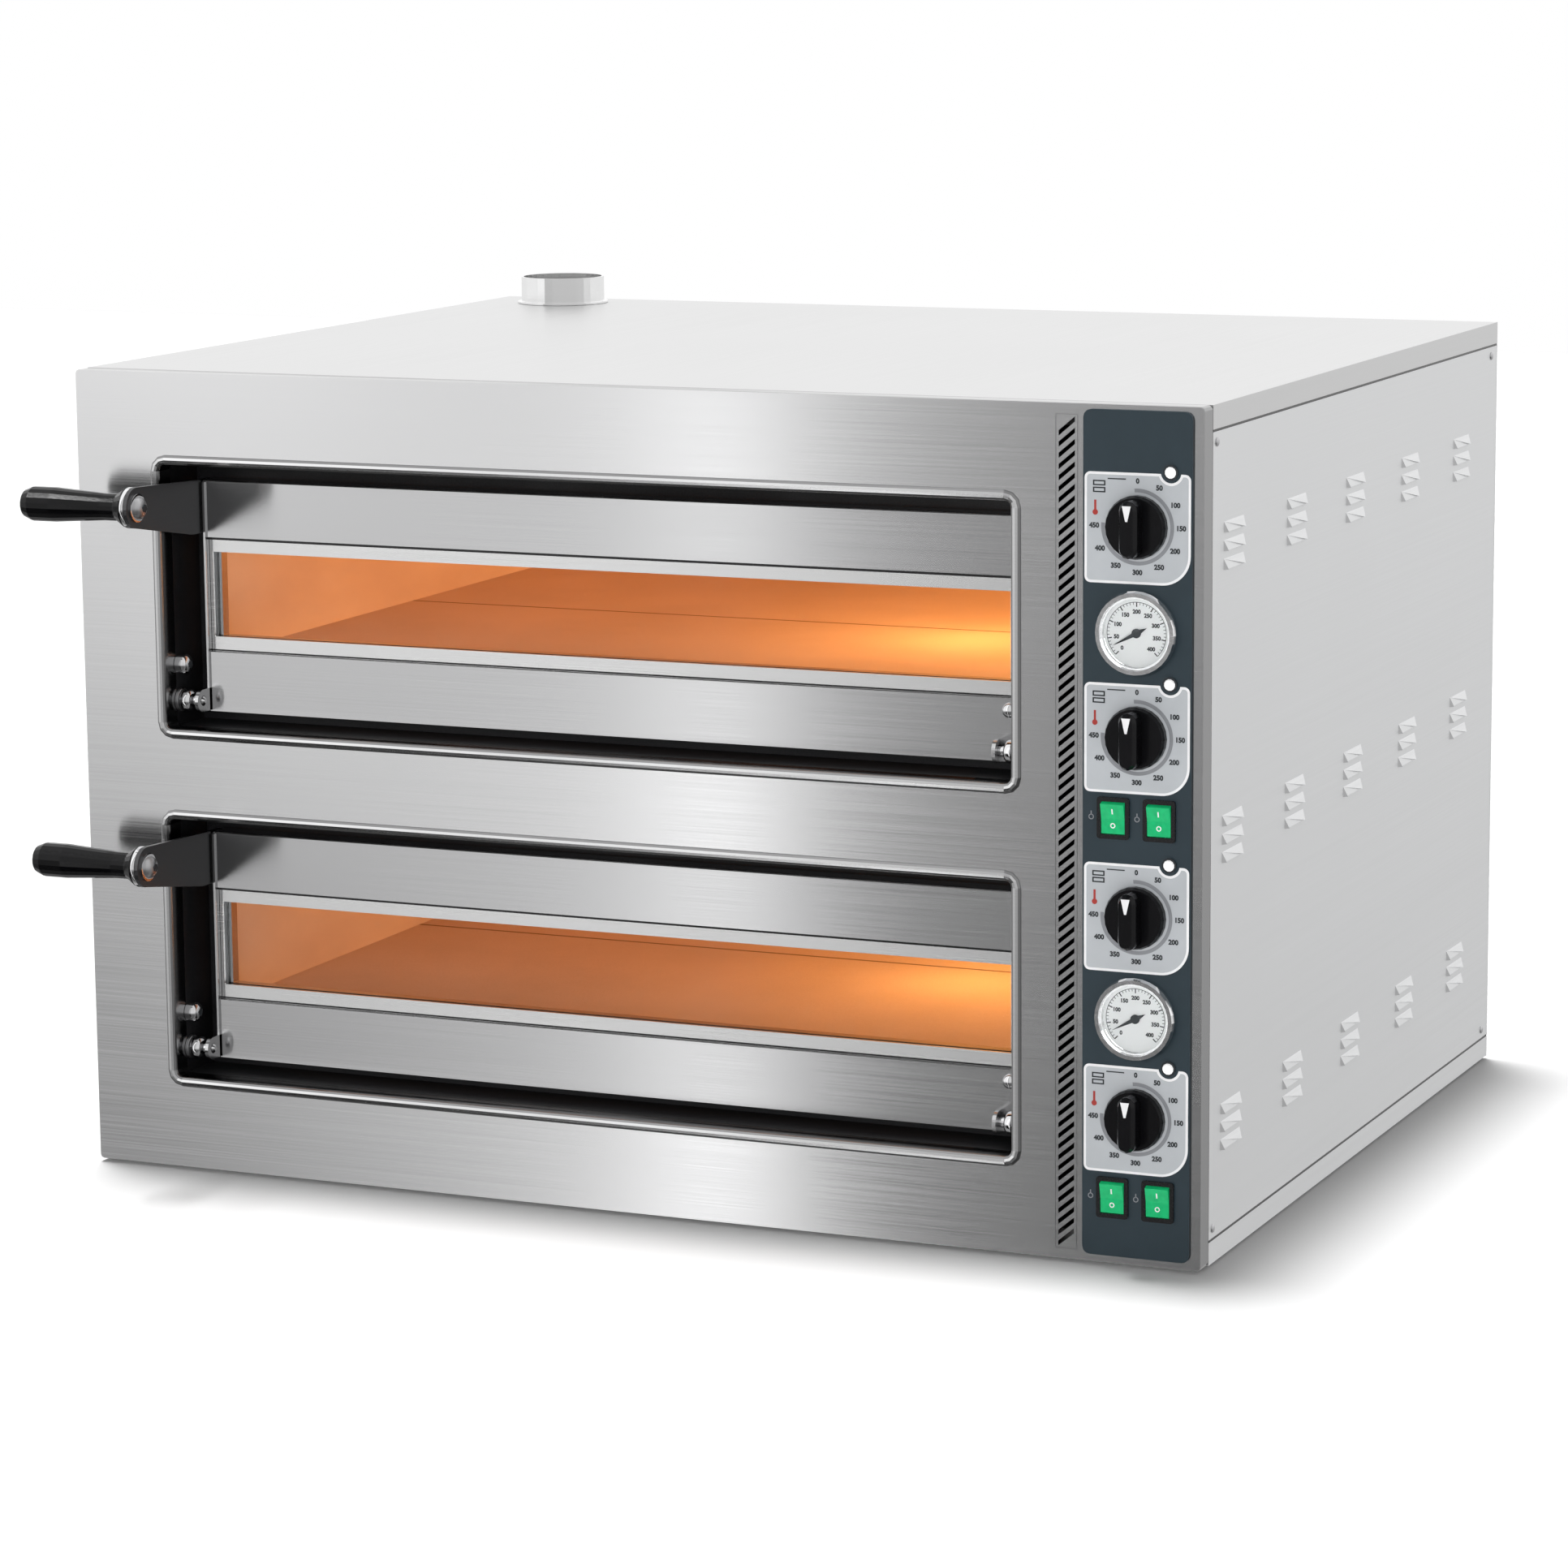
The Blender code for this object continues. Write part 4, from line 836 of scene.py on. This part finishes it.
def switch_marks(number):
    """Printed symbol beside a switch, and the on and off marks on its rocker."""
    low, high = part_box(f"switch_housing_{number}")
    x, z = (low.x + high.x) / 2, (low.z + high.z) / 2
    beside = low.x - SYMBOL_GAP
    stem = bar(beside, z + SYMBOL_STEM_UP, *SYMBOL_STEM)
    symbol = merged([ring_film((beside, z), *SYMBOL_RING, FASCIA_FACE, FILM_LIFT, FILM),
                     film(stem, FASCIA_FACE, FILM_LIFT, FILM)])
    add_piece(f"switch_symbol_{number}", symbol, "grey", "casing")
    line = bar(x, z + ON_MARK_UP, *ON_MARK)
    on_mark = film(line, rocker_face(number, line[:, 1]), MARK_LIFT, MARK_THICKNESS)
    outer, inner = (arc((x, z - OFF_MARK_DOWN), radius, 0, 345, 24) for radius in OFF_MARK_RING)
    crest = MARK_LIFT + MARK_THICKNESS
    rows = [on_face(loop, rocker_face(number, loop[:, 1]), depth) for loop, depth in
            ((outer, MARK_LIFT), (outer, crest), (inner, crest), (inner, MARK_LIFT))]
    marks = merged([on_mark, ring_of_rows(rows)])
    add_piece(f"rocker_marks_{number}", marks, "white", f"rocker_{number}")


# Fasteners

def domed(name, place, axis, head, body, kind):
    """Domed head on a short cylinder: r = R cos a, h = foot + H sin a."""
    radius, height, foot = head
    a = np.linspace(0, np.pi / 2 * DOME_REACH, DOME_ROWS)[1:]
    rows = [(radius, 0.0), (radius, foot)] + [(radius * math.cos(t), foot + height * math.sin(t)) for t in a]
    piece = add_piece(name, turned(rows, place, axis, 24), kind, body)
    smooth(piece)


def socket(name, place, axis, size, body):
    """Dark hexagonal socket in a bolt's head: a short six-sided cylinder."""
    radius, depth = size
    add_piece(name, turned([(radius, 0), (radius, depth)], place, axis, 6), "ink", body)


def door_fasteners(deck):
    """Bolts at the hinge pins, a stop bolt on the left well wall, and the handle's bolt and ferrule."""
    pivot = Vector(joints[f"{deck}_door_hinge"]["pos_m"])
    for side, inward in (("left", 1), ("right", -1)):
        low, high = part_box(f"{deck}_{side}_hinge_pin")
        wall = Vector((low.x if inward > 0 else high.x, pivot.y, pivot.z))
        axis = Vector((inward, 0, 0))
        bolt = wall + axis * HINGE_BOLT_OUT
        domed(f"{deck}_{side}_hinge_bolt", bolt, axis, HINGE_BOLT, "casing", "chrome")
        domed(f"{deck}_{side}_hinge_collar", wall, axis, HINGE_COLLAR, "casing", "screw")
        if side == "left":
            stop = wall + Vector((0, -STOP_FORWARD, STOP_RISE))
            domed(f"{deck}_stop_bolt", stop, axis, STOP_BOLT, "casing", "chrome")
            socket(f"{deck}_stop_socket", stop + axis * STOP_SOCKET_OUT, axis, STOP_SOCKET, "casing")
    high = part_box(f"{deck}_handle_bracket")[1]
    grip_low, grip_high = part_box(f"{deck}_handle_grip")
    axis_y, axis_z = (grip_low.y + grip_high.y) / 2, (grip_low.z + grip_high.z) / 2
    body = f"{deck}_door"
    washer = Vector((high.x + HANDLE_WASHER_GAP, axis_y, axis_z))
    axis = Vector((1, 0, 0))
    domed(f"{deck}_handle_washer", washer, axis, HANDLE_WASHER, body, "chrome")
    domed(f"{deck}_handle_bolt", washer + axis * HANDLE_BOLT_OUT, axis, HANDLE_BOLT, body, "screw")
    socket(f"{deck}_handle_socket", washer + axis * HANDLE_SOCKET_OUT, axis, HANDLE_SOCKET, body)
    ferrule = turned(FERRULE, (grip_high.x, axis_y, axis_z), -axis, 40)
    smooth(add_piece(f"{deck}_grip_ferrule", ferrule, "chrome", body))


def rounded(x0, x1, z0, z1, radius):
    """Rectangle with round corners, from the upper right round to the lower right."""
    return np.concatenate([arc((x1 - radius, z1 - radius), radius, 0, 90, 5),
                           arc((x0 + radius, z1 - radius), radius, 90, 180, 5),
                           arc((x0 + radius, z0 + radius), radius, 180, 270, 5),
                           arc((x1 - radius, z0 + radius), radius, 270, 360, 5)])


def hinge_lug(x, pivot, root):
    """Bored lug about the pin: a half circle of radius R to the front, square to the root at the rear.

    To the rear the outline lies at the smaller of R / |sin a| and (root - pin) / cos a.
    """
    a = np.linspace(0, 2 * np.pi, LUG_POINTS, endpoint=False)
    along, up = np.cos(a), np.sin(a)
    reach = np.full(LUG_POINTS, LUG_RADIUS)
    rear = along > 1e-6
    reach[rear] = np.minimum(LUG_RADIUS / np.maximum(np.abs(up[rear]), 1e-6), (root - pivot.y) / along[rear])
    rows = []
    for place, radius in ((x, reach), (x + LUG_THICKNESS, reach), (x + LUG_THICKNESS, LUG_BORE),
                          (x, LUG_BORE)):
        across = np.full(LUG_POINTS, place)
        rows.append(np.column_stack([across, pivot.y + radius * along, pivot.z + radius * up]))
    return ring_of_rows(rows)


def glazed_door(deck):
    """Door skin with soft edges and end ribs, glazing strips to both ends, dark lines of painted shade along
    the strips' edges, and the glass.

    Skin and strips are outlines in X and Z, inset and carried to depths, with the rows joined in a ring.
    """
    low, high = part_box(f"{deck}_door_frame")
    strip_low, strip_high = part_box(f"{deck}_glazing_frame")
    pivot = Vector(joints[f"{deck}_door_hinge"]["pos_m"])
    x0, x1 = low.x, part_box(f"{deck}_right_hinge_pin")[1].x - DOOR_END_CLEAR
    z0, z1 = low.z, high.z
    face = high.y - DOOR_THICKNESS
    body = f"{deck}_door"

    def shell(inset, depth):
        """Outline of the door, inset all round, at a depth behind its face."""
        outline = rounded(x0 + inset, x1 - inset, z0 + inset, z1 - inset, DOOR_CORNER)
        return on_face(outline, face, -depth)

    def window(end, up, depth):
        """Outline of the window, inset from the door's ends and the strips' edges, at a depth."""
        outline = rounded(x0 + end, x1 - end, strip_low.z + up, strip_high.z - up, STRIP_CORNER)
        return on_face(outline, face, -depth)

    soft = DOOR_EDGE * DOOR_EDGE_SHARE
    skin = ring_of_rows([
        window(END_FLANGE, 0, 0), window(END_FLANGE, 0, PANE_SEAT), window(END_LIP, STRIP_HEIGHT, PANE_SEAT),
        window(END_LIP, STRIP_HEIGHT, DOOR_THICKNESS), shell(DOOR_EDGE, DOOR_THICKNESS),
        shell(0, DOOR_THICKNESS - DOOR_EDGE), shell(0, DOOR_EDGE), shell(soft, soft), shell(DOOR_EDGE, 0)])
    rib_inset = (END_FLANGE + DOOR_EDGE) / 2
    rib_size = END_FLANGE - DOOR_EDGE, z1 - z0 - 2 * DOOR_CORNER
    ribs = [film(bar(x, (z0 + z1) / 2, *rib_size), face, -END_RIB_SUNK, END_RIB + END_RIB_SUNK)
            for x in (x0 + rib_inset, x1 - rib_inset)]
    lugs = [hinge_lug(x, pivot, face + LUG_ROOT) for x in (x0, high.x - LUG_THICKNESS)]
    door = add_piece(f"{deck}_door_skin", merged([skin, *ribs, *lugs]), "door", body)
    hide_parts(f"{deck}_door_frame")
    end = END_FLANGE + STRIP_GAP
    strip_rear = STRIP_SETBACK + STRIP_THICKNESS
    strips = ring_of_rows([
        window(STRIP_END, STRIP_HEIGHT, STRIP_SETBACK), window(STRIP_END, STRIP_HEIGHT, strip_rear),
        window(end, STRIP_GAP, strip_rear), window(end, STRIP_GAP, STRIP_SETBACK)])
    glazing = add_piece(f"{deck}_glazing_strips", strips, "strip", body)
    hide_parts(f"{deck}_glazing_frame")
    outline = rounded(x0 + end, x1 - end, strip_low.z + STRIP_GAP, strip_high.z - STRIP_GAP, STRIP_CORNER)
    glass = film(outline, face, -PANE_SETBACK - PANE_THICKNESS, PANE_THICKNESS)
    pane = add_piece(f"{deck}_door_pane", glass, "glass", body)
    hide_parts(f"{deck}_door_glass")
    # Painted shade: thin dark films along the upper and lower edges of the glazing strips.
    lines = [bar((x0 + x1) / 2, z, x1 - x0 - 2 * end, height) for z, height in
             ((strip_high.z - SHADE_LINE / 2, SHADE_LINE), (strip_low.z + SHADE_LINE / 2, SHADE_LINE / 2))]
    painted_shade_lines = merged([film(line, face, SHADE_LINE_LIFT - STRIP_SETBACK, SHADE_LINE_THICKNESS) for line in lines])
    add_piece(f"{deck}_glazing_gasket", painted_shade_lines, "plastic", body)
    screw = Vector((x1 - DOOR_SCREW_INSET, face, pivot.z + STOP_RISE))
    domed(f"{deck}_door_end_screw", screw, (0, -1, 0), DOOR_SCREW, body, "chrome")


def panel_screws():
    """Small pan heads at the corners of the side sheets."""
    inset = PANEL_SCREW_INSET
    spots = [(y, z) for y in (SIDE_LOW.y + inset, SIDE_HIGH.y - 2 * inset)
             for z in (SIDE_LOW.z + inset, SIDE_HIGH.z - inset)]
    for side, sheet, outward in SIDES:
        for k, (y, z) in enumerate(spots, 1):
            place = (sheet - outward * PANEL_SCREW_SUNK, y, z)
            domed(f"{side}_panel_screw_{k}", place, (outward, 0, 0), PANEL_SCREW, "casing", "screw")


def side_seams():
    """Dark lines of painted shade along the joints at the upper and lower edges of the side sheets: flat
    bands turned to face along X.

    A band's point (x, y, z) goes to (sheet - outward y, x, z), and on the left its faces are turned round.
    """
    length, middle = SIDE_HIGH.y - SIDE_LOW.y, (SIDE_LOW.y + SIDE_HIGH.y) / 2
    for side, sheet, outward in SIDES:
        for edge, z in (("lower", SIDE_LOW.z), ("upper", SIDE_HIGH.z)):
            # Painted shade: a black band at each joint, where the gap under the fold lies in shade.
            points, faces = film(bar(middle, z, length, SEAM_HEIGHT), 0, -SEAM_SUNK, SEAM_SUNK + SEAM_PROUD)
            points = np.column_stack([sheet - outward * points[:, 1], points[:, 0], points[:, 2]])
            faces = faces if outward > 0 else [face[::-1] for face in faces]
            add_piece(f"{side}_{edge}_seam", (points, faces), "plastic", "casing")


def build_pieces():
    """Make every piece that rides on the CAD model."""
    for number in range(1, 5):
        dial_plate(number)
        knob_index(number)
        switch_marks(number)
    for deck in DECKS:
        thermometer_dial(deck)
        door_fasteners(deck)
        glazed_door(deck)
    panel_screws()
    side_seams()


# Stage

def add_camera():
    """Camera at the photograph's place: yaw towards -X, pitch down, roll about the view."""
    forward = Vector((-math.sin(CAMERA_YAW) * math.cos(CAMERA_PITCH),
                      math.cos(CAMERA_YAW) * math.cos(CAMERA_PITCH), -math.sin(CAMERA_PITCH)))
    right = Vector((math.cos(CAMERA_YAW), math.sin(CAMERA_YAW), 0))
    up = right.cross(forward)
    turned_right = right * math.cos(CAMERA_ROLL) + up * math.sin(CAMERA_ROLL)
    turned_up = up * math.cos(CAMERA_ROLL) - right * math.sin(CAMERA_ROLL)
    data = bpy.data.cameras.new("camera")
    data.lens = CAMERA_LENS
    data.sensor_width = CAMERA_SENSOR
    data.clip_end = CAMERA_REACH
    camera = add_object("camera", data)
    rotation = Matrix((turned_right, turned_up, -forward)).transposed()
    camera.matrix_world = Matrix.Translation(CAMERA_PLACE) @ rotation.to_4x4()
    bpy.context.scene.camera = camera


def add_floor():
    """Pale floor, lifted a little towards white for the camera and kept out of the metal's reflections."""
    corners = [(x * FLOOR_REACH, y * FLOOR_REACH, FLOOR_LEVEL)
               for x, y in ((-1, -1), (1, -1), (1, 1), (-1, 1))]
    mesh = bpy.data.meshes.new("floor")
    mesh.from_pydata(corners, [], [(0, 1, 2, 3)])
    floor = add_object("floor", mesh)
    material = bpy.data.materials.new("pale_floor")
    material.use_nodes = True
    tree = material.node_tree
    tree.nodes.clear()
    matte = make_node(tree, "BsdfDiffuse", Color=(0.9, 0.9, 0.9, 1))
    white = make_node(tree, "Emission", Color=(1, 1, 1, 1), Strength=FLOOR_WHITE)
    path = make_node(tree, "LightPath")
    share = math_node(tree, "MULTIPLY", path.outputs["Is Camera Ray"], FLOOR_WHITE_SHARE)
    mix = make_node(tree, "MixShader")
    out = make_node(tree, "OutputMaterial")
    tree.links.new(share, mix.inputs["Fac"])
    tree.links.new(matte.outputs["BSDF"], mix.inputs[1])
    tree.links.new(white.outputs["Emission"], mix.inputs[2])
    tree.links.new(mix.outputs["Shader"], out.inputs["Surface"])
    mesh.materials.append(material)
    floor.visible_glossy = False


def level_ramp(tree, place, stops):
    """Light level along a position from 0 to 1, from (degrees, level) stops."""
    node = make_node(tree, "ValToRGB")
    ramp = node.color_ramp
    while len(ramp.elements) < len(stops):
        ramp.elements.new(0.5)
    for element, (degrees, level) in zip(ramp.elements, stops):
        element.position = (degrees - STUDIO_FIRST) / (STUDIO_LAST - STUDIO_FIRST)
        element.color = (level, level, level, 1)
    tree.links.new(place, node.inputs["Fac"])
    return node.outputs["Color"]


def studio_world():
    """White for the camera; a studio with a bright strip and darker flags at the front left for the metal."""
    world = bpy.data.worlds.new("studio")
    bpy.context.scene.world = world
    world.use_nodes = True
    tree = world.node_tree
    tree.nodes.clear()

    def mix_levels(share, first, second):
        """Level between two, or past them where the share is outside 0 to 1."""
        node = make_node(tree, "Mix")
        node.clamp_factor = False
        for entry, value in zip(node.inputs, (share, None, first, second)):
            if value is not None:
                tree.links.new(value, entry)
        return node.outputs[0]

    direction = make_node(tree, "TexCoord")
    x, y, z = axes_of(tree, direction.outputs["Generated"])
    to_left, to_front = (math_node(tree, "MULTIPLY", value, -1.0) for value in (x, y))
    angle = math_node(tree, "ARCTAN2", to_left, to_front)
    place = spread(tree, angle, 0, 1, math.radians(STUDIO_FIRST), math.radians(STUDIO_LAST))
    above = level_ramp(tree, place, STUDIO_ABOVE)
    below = level_ramp(tree, place, STUDIO_BELOW)
    front = mix_levels(spread(tree, z, *STUDIO_FRONT_SHARES, *STUDIO_FRONT_HEIGHTS), below, above)
    rear = spread(tree, z, *STUDIO_REAR_LEVELS, *STUDIO_REAR_HEIGHTS)
    level = mix_levels(spread(tree, y, 0, 1, *STUDIO_FRONT_TO_REAR), front, rear)
    path = make_node(tree, "LightPath")
    no_matt_bounce = math_node(tree, "SUBTRACT", 1.0, path.outputs["Diffuse Depth"])
    gloss = math_node(tree, "MULTIPLY", path.outputs["Is Glossy Ray"], no_matt_bounce)
    softened = math_node(tree, "MULTIPLY", level, spread(tree, gloss, DIFFUSE_SHARE, 1, 0, 1))
    seen = math_node(tree, "MAXIMUM", softened, path.outputs["Is Camera Ray"])
    background = make_node(tree, "Background", Color=(1, 1, 1, 1))
    tree.links.new(seen, background.inputs["Strength"])
    out = make_node(tree, "OutputWorld")
    tree.links.new(background.outputs["Background"], out.inputs["Surface"])


def add_light(kind, name, power, hidden, place=(0, 0, 0), direction=(0, 0, -1), **settings):
    """Lamp of a kind, aimed along a direction and hidden from some kinds of ray."""
    data = bpy.data.lights.new(name, kind)
    data.energy = power
    for setting, value in settings.items():
        setattr(data, setting, value)
    lamp = add_object(name, data)
    lamp.location = place
    lamp.rotation_euler = Vector(direction).to_track_quat("-Z", "Y").to_euler()
    for ray in hidden:
        setattr(lamp, f"visible_{ray}", False)
    return lamp


def light_group(name, members):
    """Collection of pieces that a lamp treats in its own way."""
    group = bpy.data.collections.new(name)
    for member in members:
        group.objects.link(member)
    return group


def add_lights():
    """Key from above, fill from the front, a strip for gloss, and warm light in each chamber."""
    grips = [nodes[f"{deck}_handle_grip"] for deck in DECKS]
    knobs = [node for name, node in nodes.items() if name.startswith("thermostat_knob")]
    key = add_light("SUN", "key", KEY_POWER, ["glossy"], direction=KEY_DIRECTION, angle=KEY_SPREAD)
    shadowless = light_group("grips_without_floor_shadow", grips)
    for entry in shadowless.collection_objects:
        entry.light_linking.link_state = "EXCLUDE"
    key.light_linking.blocker_collection = shadowless
    add_light("SUN", "fill", FILL_POWER, ["glossy"], direction=FILL_DIRECTION, angle=FILL_SPREAD)
    aim = Vector(GLOSS_TARGET) - Vector(GLOSS_PLACE)
    strip = add_light("AREA", "gloss_strip", GLOSS_POWER, ["diffuse", "transmission"], GLOSS_PLACE, aim,
                      shape="RECTANGLE", size=GLOSS_SIZE[0], size_y=GLOSS_SIZE[1])
    strip.light_linking.receiver_collection = light_group("black_mouldings", grips + knobs)
    for deck, power in DECK_POWER.items():
        low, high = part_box(f"{deck}_deck_stone")
        lamp_low, lamp_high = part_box(f"{deck}_chamber_lamp")
        centre, lamp = (low + high) / 2, (lamp_low + lamp_high) / 2
        above = (centre.x, centre.y, lamp_high.z + HEAT_OVER_LAMP)
        add_light("AREA", f"{deck}_heat", HEAT_POWER * power, ["glossy", "transmission"], above,
                  shape="RECTANGLE", size=HEAT_SIZE[0], size_y=HEAT_SIZE[1], color=HEAT_COLOUR)
        glow = (lamp_low.x - GLOW_INWARD, lamp.y + GLOW_DEEPER, lamp.z)
        add_light("POINT", f"{deck}_glow", GLOW_POWER * power, ["camera", "glossy", "transmission"], glow,
                  shadow_soft_size=GLOW_RADIUS, color=GLOW_COLOUR)


for item in [o for o in bpy.data.objects if o.type in {"CAMERA", "LIGHT"}]:
    bpy.data.objects.remove(item)
dress_nodes()
build_pieces()
add_camera()
add_floor()
studio_world()
add_lights()
bpy.context.scene.view_settings.view_transform = "Standard"
